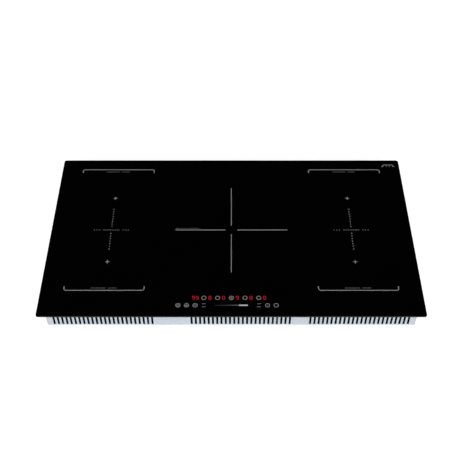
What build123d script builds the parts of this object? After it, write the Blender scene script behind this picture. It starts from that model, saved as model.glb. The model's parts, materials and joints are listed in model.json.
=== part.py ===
"""Five-zone built-in induction cooktop, 900 mm class, as an assembly of separate pieces.

Frame: z = 0 is the worktop surface, which is the underside of the seal round the glass.
The origin is the centre of the cut-out, +X is to the cook's right and +Y is to the rear.
The touch controls are at the front, -Y. All sizes are in millimetres.
"""

from build123d import *
import os
from math import ceil, cos, floor, radians

# ---- overall sizes -------------------------------------------------------------------
GLASS_WIDTH = 900.0
GLASS_DEPTH = 520.0
OVERALL_HEIGHT = 60.0  # top face of the glass to the underside of the pan

# ---- glass, seal and the frame bonded under the glass --------------------------------
GLASS_THICKNESS = 4.0
GLASS_CORNER_RADIUS = 6.0
GLASS_BEVEL = 0.8
SEAL_THICKNESS = 2.0
SEAL_WIDTH = 8.0
SEAL_INSET = 3.0
ADHESIVE_THICKNESS = 0.8
ADHESIVE_WIDTH = 6.0
ADHESIVE_CORNER_RADIUS = 2.0
FRAME_SHEET = 1.0
FRAME_FLANGE = 8.0
FRAME_LEG = 10.0
FRAME_CORNER_RADIUS = 1.5

# ---- base pan ------------------------------------------------------------------------
PAN_SHEET = 0.8
PAN_BEND_RADIUS = 2.0
SIDE_OVERHANG = 17.0  # glass past the pan at the left and right
END_OVERHANG = 18.0  # glass past the pan at the front and rear
PAN_TOP_CLEARANCE = 0.8
SLIP_FIT = 0.2  # clearance between pieces that slide together at assembly

# ---- air vents: slots in the pan's walls ---------------------------------------------
SLOT_WIDTH = 5.0
SLOT_PITCH = 10.0
SLOT_FOOT = 5.5  # solid sheet below the slots
SLOT_HEAD = 14.0  # solid sheet above the slots
VENT_CORNER_MARGIN = 17.0  # pan corner to the nearest slot's centre
MIDDLE_VENT_LEFT_GAP = 92.0  # plain sheet between the left and the middle group
MIDDLE_VENT_RIGHT_GAP = 48.0
SIDE_WALL_SLOTS = 16
REAR_MIDDLE_SLOTS = 12

# ---- stamped features of the pan's floor ---------------------------------------------
BEAD_WIDTH = 10.0
BEAD_HEIGHT = 2.0
BEAD_TAPER = 35.0
LONG_BEAD_END_MARGIN = 70.0
CROSS_BEAD_LENGTH = 200.0
CROSS_BEAD_SPACING = 60.0
GRILLE_RING_PITCH = 8.0
GRILLE_SLOT = 4.5
GRILLE_HUB_RADIUS = 5.0
GRILLE_SPOKE = 5.0
GRILLE_SPOKES = 6

# ---- holes for the worktop hold-down brackets, M4, tapped in drawn collars ------------
HOLD_DOWN_RADIUS = 1.65
HOLD_DOWN_INSET = 14.0
HOLD_DOWN_SPACING_Y = 220.0
HOLD_DOWN_COLLAR_RADIUS = 3.4
HOLD_DOWN_COLLAR_HEIGHT = 3.2

# ---- screws that join the pan to the frame -------------------------------------------
SCREW_SHANK_RADIUS = 1.4
SCREW_HOLE_RADIUS = 1.6
SCREW_HEAD_RADIUS = 3.2
SCREW_HEAD_HEIGHT = 1.8
SCREW_LENGTH = 4.0
SCREW_DROP = 4.0  # screw axis below the worktop surface
SCREW_RECESS_WIDTH = 0.6
SCREW_RECESS_DEPTH = 1.08
SCREWS_LONG_SIDE = 4
SCREWS_SHORT_SIDE = 2
SCREW_END_MARGIN = 60.0

# ---- cooking zones -------------------------------------------------------------------
SIDE_ZONE_INSET = 150.0  # glass edge to the centre line of a side zone
ZONE_REAR_INSET = 45.0  # rear glass edge to the rear end of the zones
ZONE_FRONT_INSET = 69.0  # front glass edge to the front end of the zones
ZONE_END_MARGIN = 8.0
COIL_GAP = 30.0  # between the two coils of a side zone
CENTRE_COIL_DIAMETER = 260.0

# ---- coil assemblies, from the glass down --------------------------------------------
GLASS_GAP = 0.3
INSULATION_THICKNESS = 1.0
WINDING_THICKNESS = 3.2
WINDING_INNER_RADIUS = 26.0
WINDING_PITCH = 3.3
WINDING_GROOVE = 0.9
WINDING_CROWN = 0.4  # flat top of each turn, as a share of the pitch
FORMER_PLATE = 1.8
FORMER_RIM = 1.8
FORMER_CLEARANCE = 0.4
FORMER_HUB_RADIUS = 22.0
FORMER_HUB_WALL = 2.0
SENSOR_RADIUS = 5.0
SENSOR_SOCKET_WALL = 1.6
SENSOR_SPOKE = 4.0
SENSOR_SPOKES = 3
SENSOR_FILLET = 0.8
FERRITE_THICKNESS = 4.5
FERRITE_WIDTH = 10.0
FERRITE_MARGIN = 6.0
FERRITE_CHAMFER = 1.0
SIDE_FERRITES = 6
CENTRE_FERRITES = 10
TRAY_SHEET = 1.0
TRAY_LIP = 4.0
TRAY_CORNER_RADIUS = 6.0
TRAY_GAP = 2.0
TRAY_WALL_GAP = 4.0
TRAY_END_MARGIN = 1.0
CENTRE_TRAY_MARGIN = 6.0
WIRE_HOLE_RADIUS = 12.0

# ---- sprung supports under the trays -------------------------------------------------
TRAY_TRAVEL = 3.0
AIR_GAP = 1.5  # between the lowest tray and what stands on the floor
POST_INSET = 11.0
POST_RADIUS = 6.0
PIN_RADIUS = 3.0
PIN_CLEARANCE = 0.35
PIN_ABOVE_TRAY = 3.0
SPRING_LENGTH = 14.0
SPRING_WIRE_RADIUS = 0.5
SPRING_MEAN_RADIUS = 4.6
SPRING_TURNS = 5
SPRING_END_GAP = 0.05

# ---- cooling blowers -----------------------------------------------------------------
BLOWER_WALL = 1.6
BLOWER_RADIUS = 46.0
BLOWER_OUTLET_STUB = 6.0  # outlet duct past the round part of the housing
BLOWER_OUTLET_FAR_X = 14.0
BLOWER_FOOT = 0.4
BLOWER_LID = 1.6
BLOWER_INTAKE_LIP = 4.0  # intake plate inside the rotor's rim
BLOWER_REAR_GAP = 3.0
ROTOR_SCROLL_GAP = 10.4  # rotor to the housing's round wall
ROTOR_PLATE = 1.4
ROTOR_END_GAP = 1.6
ROTOR_BLADES = 24
BLADE_CHORD = 8.0
BLADE_THICKNESS = 0.8
BLADE_ANGLE = 35.0
BLADE_RIM_GAP = 0.4  # blade tip to the edge of its plate
ROTOR_RING = 1.6
CUP_RADIUS = 16.0
CUP_WALL = 1.4
CUP_DEPTH = 14.0
SHAFT_RADIUS = 1.5
SHAFT_CLEARANCE = 0.05
BEARING_WALL = 2.0
STATOR_GAP = 1.0
STATOR_END_GAP = 1.5
STATOR_STEP = 1.0  # bearing tube past each end of the stator
STATOR_POLES = 4
POLE_WIDTH = 5.0
POLE_RIM = 2.0
POLE_TIP_GAP = 1.5

# ---- power electronics ---------------------------------------------------------------
STANDOFF_HEIGHT = 6.0
STANDOFF_RADIUS = 3.0
STANDOFF_INSET = 7.0
BOARD_THICKNESS = 1.6
BOARD_CORNER_RADIUS = 2.0
BOARD_POST_GAP = 4.0
BOARD_FRONT_GAP = 14.0
BOARD_BLOWER_GAP = 4.0
TRANSISTOR_SIZE = (16.0, 20.0, 4.8)
TRANSISTOR_PITCH = 32.0
TRANSISTORS_PER_BOARD = 4
HEATSINK_WIDTH = 78.0
HEATSINK_LENGTH = 170.0
HEATSINK_BASE = 4.0
HEATSINK_FIN = 1.6
HEATSINK_FINS = 10
CAPACITOR_SIZE = (18.0, 32.0, 22.0)
CAPACITOR_PITCH = 40.0
CAPACITORS_PER_BOARD = 3
CAPACITOR_FILLET = 1.0
CHOKE_RADIUS = 14.0
CHOKE_BORE = 6.0
CHOKE_THICKNESS = 12.0
CHOKE_PITCH = 38.0
CHOKES_PER_BOARD = 3
CHOKE_FILLET = 2.0
PART_GAP = 8.0
FILTER_BOARD_WIDTH = 190.0
FILTER_BOARD_DEPTH = 130.0
FILTER_CAPACITOR_PITCH = 44.8
FILTER_CHOKES = 2
FILTER_CHOKE_FIRST_X = -24.0

# ---- touch controls ------------------------------------------------------------------
DISPLAY_ROW_INSET = 54.5  # front glass edge to the row of zone keys and digits
KEY_ROW_INSET = 32.0  # front glass edge to the row of general keys
ZONE_KEY_FIRST_X = -64.0
ZONE_KEY_PITCH = 32.0
ZONE_KEYS = 5
DIGIT_OFFSET = 14.0  # zone key to its digit
TIMER_X = -84.0
KEY_POSITIONS = (-124.0, -104.0, -84.0, -64.0, 64.0, 84.0, 104.0)
SLIDER_LENGTH = 77.0
SLIDER_CONTACTS = 8
CONTACT_RADIUS = 3.0
CONTACT_GAP = 8.0  # control board to the glass
DIGIT_MODULE = (9.0, 14.0, 7.0)
TIMER_MODULE = (18.0, 14.0, 7.0)
CONTROL_BOARD_MARGIN = 10.0
CONTROL_BOARD_REAR = 10.0  # board past the display row
CONTROL_WALL_GAP = 2.8
BRACKET_PLATE = 2.0
BRACKET_LEG = 8.0

# ---- mains connection ----------------------------------------------------------------
TERMINAL_DEPTH = 40.0
TERMINAL_WALL = 2.0
TERMINAL_TOP_GAP = 1.0
MOUTH_WIDTH = 86.0
MOUTH_SILL = 4.0  # housing wall below and above the mouth
TERMINAL_LEFT = 48.0  # housing left of the module's centre line
TERMINAL_RIGHT = 78.0
COVER_GAP = 0.4
COVER_THICKNESS = 2.0
COVER_BARREL_RADIUS = 1.8
COVER_PIN_RADIUS = 1.2
COVER_PIN_LENGTH = 1.6
COVER_PIN_CLEARANCE = 0.05
COVER_NOTCH = (12.0, 3.0, 0.8)  # width, height, depth of the finger notch
BLOCK_SIZE = (64.0, 16.0, 15.0)
BLOCK_POLES = 5
BLOCK_BORE_RADIUS = 2.6
BLOCK_BORE_DEPTH = 11.2
BLOCK_SCREW_RADIUS = 2.2
BLOCK_SCREW_DEPTH = 5.0
BLOCK_FILLET = 1.2
GLAND_OFFSET = 62.0  # module's centre line to the cable
GLAND_BORE_RADIUS = 6.5
GLAND_BODY_RADIUS = 9.6
GLAND_FLANGE_RADIUS = 12.0
GLAND_FLANGE = 2.0
GLAND_LENGTH = 12.0
LEADS = 3
LEAD_RADIUS = 1.5
LEAD_SPACING = 6.0
LEAD_BEND_RADIUS = 9.0

# ---- for building solids --------------------------------------------------------------
OVERCUT = 1.0  # how far a cutter passes the face that it cuts, or a joined piece its neighbour
LEAST_CORNER_RADIUS = 1.0

# ---- places worked out from the sizes above ------------------------------------------
GLASS_UNDERSIDE = SEAL_THICKNESS
GLASS_TOP = GLASS_UNDERSIDE + GLASS_THICKNESS
PAN_BOTTOM = GLASS_TOP - OVERALL_HEIGHT
FLOOR = PAN_BOTTOM + PAN_SHEET
PAN_TOP = GLASS_UNDERSIDE - PAN_TOP_CLEARANCE
PAN_HALF_X = GLASS_WIDTH / 2 - SIDE_OVERHANG
PAN_HALF_Y = GLASS_DEPTH / 2 - END_OVERHANG
INNER_X = PAN_HALF_X - PAN_SHEET
INNER_Y = PAN_HALF_Y - PAN_SHEET
FRAME_TOP = GLASS_UNDERSIDE - ADHESIVE_THICKNESS
FRAME_X = INNER_X - SLIP_FIT
FRAME_Y = INNER_Y - SLIP_FIT

ZONE_X = GLASS_WIDTH / 2 - SIDE_ZONE_INSET
ZONE_REAR = GLASS_DEPTH / 2 - ZONE_REAR_INSET
ZONE_FRONT = ZONE_FRONT_INSET - GLASS_DEPTH / 2
ZONE_Y = (ZONE_REAR + ZONE_FRONT) / 2
SIDE_COIL_DIAMETER = (ZONE_REAR - ZONE_FRONT - COIL_GAP - 2 * ZONE_END_MARGIN) / 2
COIL_PITCH = SIDE_COIL_DIAMETER + COIL_GAP

INSULATION_TOP = GLASS_UNDERSIDE - GLASS_GAP
WINDING_TOP = INSULATION_TOP - INSULATION_THICKNESS
WINDING_BOTTOM = WINDING_TOP - WINDING_THICKNESS
FERRITE_TOP = WINDING_BOTTOM - FORMER_PLATE
TRAY_TOP = FERRITE_TOP - FERRITE_THICKNESS
TRAY_BOTTOM = TRAY_TOP - TRAY_SHEET
SPRING_SEAT = TRAY_BOTTOM - SPRING_LENGTH
CEILING = TRAY_BOTTOM - TRAY_TRAVEL - AIR_GAP  # what stands on the floor stays below this

TRAY_BORDER = (CENTRE_COIL_DIAMETER / 2 + ZONE_X - SIDE_COIL_DIAMETER / 2) / 2
SIDE_TRAY_INNER = TRAY_BORDER + TRAY_GAP / 2
SIDE_TRAY_OUTER = INNER_X - TRAY_WALL_GAP
MODULE_X = (SIDE_TRAY_INNER + SIDE_TRAY_OUTER) / 2
BLOWER_Y = INNER_Y - TERMINAL_DEPTH - BLOWER_REAR_GAP - BLOWER_RADIUS
BLOWER_BOTTOM = FLOOR + BLOWER_FOOT
BLOWER_OUTLET_REACH = BLOWER_RADIUS + BLOWER_OUTLET_STUB
ROTOR_RADIUS = BLOWER_RADIUS - BLOWER_WALL - ROTOR_SCROLL_GAP
BLOWER_INTAKE_RADIUS = ROTOR_RADIUS - BLOWER_INTAKE_LIP
GRILLE_RINGS = ceil((BLOWER_INTAKE_RADIUS - GRILLE_HUB_RADIUS) / GRILLE_RING_PITCH)
BOARD_BOTTOM = FLOOR + STANDOFF_HEIGHT
BOARD_TOP = BOARD_BOTTOM + BOARD_THICKNESS
BOARD_REAR = BLOWER_Y - BLOWER_OUTLET_REACH - BOARD_BLOWER_GAP
BOARD_FRONT = BOARD_FRONT_GAP - INNER_Y
BOARD_INNER = SIDE_TRAY_INNER + POST_INSET + POST_RADIUS + BOARD_POST_GAP
BOARD_OUTER = SIDE_TRAY_OUTER - POST_INSET - POST_RADIUS - BOARD_POST_GAP
HEATSINK_BOTTOM = BOARD_TOP + TRANSISTOR_SIZE[2]

DISPLAY_ROW_Y = DISPLAY_ROW_INSET - GLASS_DEPTH / 2
KEY_ROW_Y = KEY_ROW_INSET - GLASS_DEPTH / 2
CONTROL_TOP = GLASS_UNDERSIDE - CONTACT_GAP
CONTROL_LEFT = KEY_POSITIONS[0] - CONTROL_BOARD_MARGIN
CONTROL_RIGHT = KEY_POSITIONS[-1] + CONTROL_BOARD_MARGIN
CONTROL_FRONT = CONTROL_WALL_GAP - INNER_Y
CONTROL_REAR = DISPLAY_ROW_Y + CONTROL_BOARD_REAR

TERMINAL_FRONT = INNER_Y - TERMINAL_DEPTH
TERMINAL_BACK = INNER_Y - SLIP_FIT
TERMINAL_TOP = CEILING - TERMINAL_TOP_GAP
MOUTH_BOTTOM = FLOOR + MOUTH_SILL
MOUTH_TOP = TERMINAL_TOP - MOUTH_SILL
HINGE_Y = PAN_HALF_Y - COVER_BARREL_RADIUS
HINGE_Z = MOUTH_BOTTOM + COVER_GAP + COVER_BARREL_RADIUS
GLAND_Z = (FLOOR + TERMINAL_TOP) / 2
LEAD_Z = BOARD_TOP + LEAD_RADIUS + SLIP_FIT

SIDES = {"left": -1, "right": 1}


# ---- small helpers -------------------------------------------------------------------
def block(x0, x1, y0, y1, z0, z1):
    """A box between two corners."""
    centre = Pos((x0 + x1) / 2, (y0 + y1) / 2, (z0 + z1) / 2)
    return centre * Box(abs(x1 - x0), abs(y1 - y0), abs(z1 - z0))


def disc(radius, z0, z1, x=0.0, y=0.0):
    """An upright cylinder between two heights."""
    return Pos(x, y, (z0 + z1) / 2) * Cylinder(radius, z1 - z0)


def tube(outer, inner, z0, z1, x=0.0, y=0.0):
    """An upright tube between two heights."""
    return disc(outer, z0, z1, x, y) - disc(inner, z0 - OVERCUT, z1 + OVERCUT, x, y)


def rounded_plate(half_x, half_y, z0, z1, radius):
    """A flat plate about the origin with round corners."""
    outline = RectangleRounded(2 * half_x, 2 * half_y, radius)
    return extrude(Pos(0, 0, z0) * outline, z1 - z0)


def plate_ring(half_x, half_y, width, z0, z1, radius):
    """A rectangular ring of the given width, measured inwards from its outer edge."""
    outer = rounded_plate(half_x, half_y, z0, z1, radius)
    inner_radius = max(radius - width, LEAST_CORNER_RADIUS)
    low, high = z0 - OVERCUT, z1 + OVERCUT
    inner = rounded_plate(half_x - width, half_y - width, low, high, inner_radius)
    return outer - inner


def row(first, last, count):
    """Evenly spaced places from first to last."""
    return [first + (last - first) * i / (count - 1) for i in range(count)]


def group(solids):
    """Separate solids that share one node."""
    return Compound(children=list(solids))


def mirrored(x0, x1, side):
    """The two x limits on one side of the cooktop, lower first."""
    return (x0, x1) if side > 0 else (-x1, -x0)


# ---- glass, seal, adhesive and frame -------------------------------------------------
def glass_panel():
    plate = rounded_plate(
        GLASS_WIDTH / 2, GLASS_DEPTH / 2, GLASS_UNDERSIDE, GLASS_TOP, GLASS_CORNER_RADIUS
    )
    rims = plate.edges().group_by(Axis.Z)
    return chamfer(rims[0] + rims[-1], GLASS_BEVEL)


def worktop_seal():
    half_x = GLASS_WIDTH / 2 - SEAL_INSET
    half_y = GLASS_DEPTH / 2 - SEAL_INSET
    return plate_ring(half_x, half_y, SEAL_WIDTH, 0, GLASS_UNDERSIDE, GLASS_CORNER_RADIUS)


def glass_adhesive():
    inset = (FRAME_FLANGE - ADHESIVE_WIDTH) / 2
    return plate_ring(
        FRAME_X - inset, FRAME_Y - inset, ADHESIVE_WIDTH, FRAME_TOP, GLASS_UNDERSIDE,
        ADHESIVE_CORNER_RADIUS,
    )


def support_frame():
    fold = FRAME_TOP - FRAME_SHEET
    radius = FRAME_CORNER_RADIUS
    flange = plate_ring(FRAME_X, FRAME_Y, FRAME_FLANGE, fold, FRAME_TOP, radius)
    leg = plate_ring(FRAME_X, FRAME_Y, FRAME_SHEET, FRAME_TOP - FRAME_LEG, fold, radius)
    frame = flange + leg
    reach = FRAME_SHEET + SLIP_FIT + PAN_SHEET + 2 * OVERCUT
    return frame - [screw_rod(p, SCREW_SHANK_RADIUS, reach) for p in screw_places()]


# ---- screws between pan and frame ----------------------------------------------------
def screw_places():
    """(x, y, outward direction) of each screw, on the pan's outer faces."""
    places = []
    end_x = PAN_HALF_X - SCREW_END_MARGIN
    end_y = PAN_HALF_Y - SCREW_END_MARGIN
    for side in (-1, 1):
        for x in row(-end_x, end_x, SCREWS_LONG_SIDE):
            places.append((x, side * PAN_HALF_Y, (0, side)))
        for y in row(-end_y, end_y, SCREWS_SHORT_SIDE):
            places.append((side * PAN_HALF_X, y, (side, 0)))
    return places


def screw_rod(place, radius, length, start=0.0):
    """A cylinder along a screw's axis, from start outside the pan's face inwards."""
    x, y, (dx, dy) = place
    origin = (x + dx * start, y + dy * start, -SCREW_DROP)
    return extrude(Plane(origin, z_dir=(-dx, -dy, 0)) * Circle(radius), length)


def pan_screws():
    screws = []
    for place in screw_places():
        head = screw_rod(place, SCREW_HEAD_RADIUS, SCREW_HEAD_HEIGHT, SCREW_HEAD_HEIGHT)
        head = fillet(head.edges().filter_by(GeomType.CIRCLE).sort_by(
            lambda e: -abs(e.center().X) - abs(e.center().Y))[0], SCREW_HEAD_HEIGHT / 2)
        shank = screw_rod(place, SCREW_SHANK_RADIUS - SLIP_FIT / 4, SCREW_LENGTH)
        x, y, (dx, dy) = place
        face = Plane(
            (x + dx * SCREW_HEAD_HEIGHT, y + dy * SCREW_HEAD_HEIGHT, -SCREW_DROP),
            x_dir=(dy, -dx, 0),
            z_dir=(-dx, -dy, 0),
        )
        cross = Rectangle(SCREW_RECESS_WIDTH, SCREW_HEAD_RADIUS)
        cross += Rectangle(SCREW_HEAD_RADIUS, SCREW_RECESS_WIDTH)
        screws.append(head + shank - extrude(face * cross, SCREW_RECESS_DEPTH))
    return group(screws)


# ---- base pan ------------------------------------------------------------------------
def vent_groups_front():
    """(first slot x, slot count) of each group in the front wall."""
    half = PAN_HALF_X - VENT_CORNER_MARGIN - ZONE_X
    steps = floor(2 * half / SLOT_PITCH)
    side_half = steps * SLOT_PITCH / 2
    left_end = -ZONE_X + side_half
    right_start = ZONE_X - side_half
    space = right_start - left_end - MIDDLE_VENT_LEFT_GAP - MIDDLE_VENT_RIGHT_GAP
    middle_steps = floor(space / SLOT_PITCH)
    slack = space - middle_steps * SLOT_PITCH
    middle_start = left_end + MIDDLE_VENT_LEFT_GAP + slack / 2
    return [
        (-ZONE_X - side_half, steps + 1),
        (middle_start, middle_steps + 1),
        (right_start, steps + 1),
    ]


def wall_slots():
    """Cutters for every vent slot in the four walls."""
    z0 = PAN_BOTTOM + SLOT_FOOT
    z1 = PAN_TOP - SLOT_HEAD
    half = SLOT_WIDTH / 2
    inside, outside = INNER_Y - OVERCUT, PAN_HALF_Y + OVERCUT
    cutters = []
    front = vent_groups_front()
    for first, count in front:
        for i in range(count):
            x = first + i * SLOT_PITCH
            cutters.append(block(x - half, x + half, -outside, -inside, z0, z1))
    rear_middle = -(REAR_MIDDLE_SLOTS - 1) * SLOT_PITCH / 2
    for first, count in (front[0], (rear_middle, REAR_MIDDLE_SLOTS)):
        for i in range(count):
            x = first + i * SLOT_PITCH
            cutters.append(block(x - half, x + half, inside, outside, z0, z1))
    for side in (-1, 1):
        for i in range(SIDE_WALL_SLOTS):
            y = (i - (SIDE_WALL_SLOTS - 1) / 2) * SLOT_PITCH
            x0, x1 = mirrored(INNER_X - OVERCUT, PAN_HALF_X + OVERCUT, side)
            cutters.append(block(x0, x1, y - half, y + half, z0, z1))
    return cutters


def intake_grille(x):
    """Cutter for the ring slots under a blower: concentric rings broken by spokes."""
    z0, z1 = PAN_BOTTOM - OVERCUT, FLOOR + OVERCUT
    spokes = [
        Pos(x, BLOWER_Y, (z0 + z1) / 2)
        * Rot(0, 0, 360 * i / GRILLE_SPOKES)
        * Box(2 * BLOWER_RADIUS, GRILLE_SPOKE, z1 - z0)
        for i in range(GRILLE_SPOKES // 2)
    ]
    rings = []
    for i in range(GRILLE_RINGS):
        inner = GRILLE_HUB_RADIUS + i * GRILLE_RING_PITCH
        ring = tube(inner + GRILLE_SLOT, inner, z0, z1, x, BLOWER_Y) - spokes
        rings.extend(ring.solids())
    return rings


def bead(length, x, y, angle):
    """(ridge above the floor, groove below it) of one stamped stiffening bead."""
    outline = SlotOverall(length, BEAD_WIDTH)
    place = Pos(x, y, 0) * Rot(0, 0, angle)
    ridge = extrude(Pos(0, 0, FLOOR) * outline, BEAD_HEIGHT, taper=BEAD_TAPER)
    groove = extrude(Pos(0, 0, PAN_BOTTOM) * outline, BEAD_HEIGHT, taper=BEAD_TAPER)
    return place * ridge, place * groove


def beads():
    long_length = 2 * (INNER_Y - LONG_BEAD_END_MARGIN)
    made = [bead(long_length, side * TRAY_BORDER, 0, 90) for side in (-1, 1)]
    behind = ZONE_Y + FILTER_BOARD_DEPTH / 2 + CROSS_BEAD_SPACING / 2
    ahead = ZONE_Y - FILTER_BOARD_DEPTH / 2 - CROSS_BEAD_SPACING / 2
    made += [bead(CROSS_BEAD_LENGTH, 0, y, 0) for y in (ahead, behind)]
    return made


def hold_down_places():
    x = PAN_HALF_X - HOLD_DOWN_INSET
    y = HOLD_DOWN_SPACING_Y / 2
    return [(sx * x, sy * y) for sx in (-1, 1) for sy in (-1, 1)]


def base_pan():
    height = PAN_TOP - PAN_BOTTOM
    outer = Pos(0, 0, PAN_BOTTOM + height / 2) * Box(2 * PAN_HALF_X, 2 * PAN_HALF_Y, height)
    folds = outer.edges().filter_by(Axis.Z) + outer.edges().group_by(Axis.Z)[0]
    outer = fillet(folds, PAN_BEND_RADIUS)
    inner = Pos(0, 0, FLOOR + height / 2) * Box(2 * INNER_X, 2 * INNER_Y, height)
    folds = inner.edges().filter_by(Axis.Z) + inner.edges().group_by(Axis.Z)[0]
    inner = fillet(folds, PAN_BEND_RADIUS - PAN_SHEET)
    pan = outer - inner
    stamped = beads()
    pan = pan + [ridge for ridge, _ in stamped]
    pan = pan - [groove for _, groove in stamped]
    for x, y in hold_down_places():
        pan += disc(HOLD_DOWN_COLLAR_RADIUS, FLOOR, FLOOR + HOLD_DOWN_COLLAR_HEIGHT, x, y)
        top = FLOOR + HOLD_DOWN_COLLAR_HEIGHT + OVERCUT
        pan -= disc(HOLD_DOWN_RADIUS, PAN_BOTTOM - OVERCUT, top, x, y)
    cutters = wall_slots()
    for side in SIDES.values():
        cutters += intake_grille(side * MODULE_X)
    through = PAN_SHEET + 2 * OVERCUT
    cutters += [screw_rod(p, SCREW_HOLE_RADIUS, through, OVERCUT) for p in screw_places()]
    cutters.append(mouth_outline(SLIP_FIT, INNER_Y - OVERCUT, PAN_HALF_Y + OVERCUT))
    gland = gland_axis_plane(PAN_HALF_Y + OVERCUT) * Circle(GLAND_BODY_RADIUS + SLIP_FIT)
    cutters.append(extrude(gland, through))
    return pan - cutters


# ---- coil trays and their sprung supports --------------------------------------------
def tray_outlines():
    """(x0, x1, y0, y1) of each tray."""
    y0, y1 = ZONE_FRONT + TRAY_END_MARGIN, ZONE_REAR - TRAY_END_MARGIN
    half = CENTRE_COIL_DIAMETER / 2 + CENTRE_TRAY_MARGIN
    centre_x = TRAY_BORDER - TRAY_GAP / 2
    return {
        "left": (-SIDE_TRAY_OUTER, -SIDE_TRAY_INNER, y0, y1),
        "centre": (-centre_x, centre_x, ZONE_Y - half, ZONE_Y + half),
        "right": (SIDE_TRAY_INNER, SIDE_TRAY_OUTER, y0, y1),
    }


def coil_places():
    """Name: (x, y, radius, tray) of every coil."""
    places = {"centre": (0.0, ZONE_Y, CENTRE_COIL_DIAMETER / 2, "centre")}
    for name, side in SIDES.items():
        for end, step in (("front", -0.5), ("rear", 0.5)):
            y = ZONE_Y + step * COIL_PITCH
            places[f"{end}_{name}"] = (side * ZONE_X, y, SIDE_COIL_DIAMETER / 2, name)
    return places


def post_places(tray):
    x0, x1, y0, y1 = tray_outlines()[tray]
    xs = (x0 + POST_INSET, x1 - POST_INSET)
    ys = (y0 + POST_INSET, y1 - POST_INSET)
    return [(x, y) for x in xs for y in ys]


def coil_tray(tray):
    x0, x1, y0, y1 = tray_outlines()[tray]
    place = Pos((x0 + x1) / 2, (y0 + y1) / 2, 0)
    half_x, half_y = (x1 - x0) / 2, (y1 - y0) / 2
    made = place * rounded_plate(half_x, half_y, TRAY_BOTTOM, TRAY_TOP, TRAY_CORNER_RADIUS)
    lip_top = TRAY_TOP + TRAY_LIP
    low, high = TRAY_BOTTOM - OVERCUT, TRAY_TOP + OVERCUT
    made += place * plate_ring(half_x, half_y, TRAY_SHEET, TRAY_TOP, lip_top, TRAY_CORNER_RADIUS)
    holes = [
        disc(PIN_RADIUS + PIN_CLEARANCE, low, high, x, y)
        for x, y in post_places(tray)
    ]
    holes += [
        disc(WIRE_HOLE_RADIUS, low, high, x, y)
        for x, y, _, on_tray in coil_places().values()
        if on_tray == tray
    ]
    return made - holes


def spring_posts():
    posts = []
    for tray in tray_outlines():
        for x, y in post_places(tray):
            column = disc(POST_RADIUS, FLOOR, SPRING_SEAT, x, y)
            pin = disc(PIN_RADIUS, SPRING_SEAT, TRAY_TOP + PIN_ABOVE_TRAY, x, y)
            posts.append(column + pin)
    return group(posts)


def tray_springs(tray):
    reach = SPRING_LENGTH - 2 * (SPRING_WIRE_RADIUS + SPRING_END_GAP)
    path = Helix(reach / SPRING_TURNS, reach, SPRING_MEAN_RADIUS)
    section = Plane(path @ 0, z_dir=path % 0) * Circle(SPRING_WIRE_RADIUS)
    spring = sweep(section, path, is_frenet=True)
    lift = SPRING_SEAT + SPRING_WIRE_RADIUS + SPRING_END_GAP
    return group(Pos(x, y, lift) * spring for x, y in post_places(tray))


# ---- coils ---------------------------------------------------------------------------
def coil_former(x, y, radius):
    """Moulded former: a plate with a skirt, a hub and a socket for the sensor."""
    rim_inner = radius + FORMER_CLEARANCE
    plate = disc(rim_inner + FORMER_RIM, FERRITE_TOP, WINDING_BOTTOM)
    rim = tube(rim_inner + FORMER_RIM, rim_inner, TRAY_TOP, WINDING_TOP - FORMER_CLEARANCE)
    hub_inner = FORMER_HUB_RADIUS - FORMER_HUB_WALL
    hub = tube(FORMER_HUB_RADIUS, hub_inner, TRAY_TOP, WINDING_TOP - FORMER_CLEARANCE)
    made = plate + rim + hub - disc(
        hub_inner, FERRITE_TOP - OVERCUT, WINDING_BOTTOM + OVERCUT
    )
    socket_outer = SENSOR_RADIUS + SLIP_FIT + SENSOR_SOCKET_WALL
    made += tube(socket_outer, SENSOR_RADIUS + SLIP_FIT, FERRITE_TOP, WINDING_BOTTOM)
    middle = (FERRITE_TOP + WINDING_BOTTOM) / 2
    start = socket_outer - SENSOR_SOCKET_WALL / 2
    reach = hub_inner + FORMER_HUB_WALL / 2 - start
    arm = Pos(start + reach / 2, 0, middle) * Box(reach, SENSOR_SPOKE, FORMER_PLATE)
    for i in range(SENSOR_SPOKES):
        made += Rot(0, 0, 360 * i / SENSOR_SPOKES) * arm
    return Pos(x, y, 0) * made


def coil_winding(x, y, radius):
    """Flat coil of stranded wire, as touching turns with a groove between each two."""
    turns = floor((radius - WINDING_INNER_RADIUS) / WINDING_PITCH)
    start = radius - turns * WINDING_PITCH
    points = [(start, WINDING_BOTTOM), (radius, WINDING_BOTTOM)]
    shoulder = WINDING_TOP - WINDING_GROOVE
    for i in range(turns, 0, -1):
        outer = start + i * WINDING_PITCH
        points.append((outer, shoulder))
        points.append((outer - WINDING_PITCH * (1 - WINDING_CROWN) / 2, WINDING_TOP))
        points.append((outer - WINDING_PITCH * (1 + WINDING_CROWN) / 2, WINDING_TOP))
    points.append((start, shoulder))
    profile = Plane.XZ * make_face(Polyline(*points, close=True))
    return Pos(x, y, 0) * revolve(profile, Axis.Z)


def ferrite_bars(x, y, radius, count):
    inner = FORMER_HUB_RADIUS + FERRITE_MARGIN
    outer = radius - FERRITE_MARGIN
    bar = block(inner, outer, -FERRITE_WIDTH / 2, FERRITE_WIDTH / 2, TRAY_TOP, FERRITE_TOP)
    bar = chamfer(bar.edges().filter_by(Axis.Z), FERRITE_CHAMFER)
    return group(Pos(x, y, 0) * Rot(0, 0, 360 * (i + 0.5) / count) * bar for i in range(count))


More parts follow.
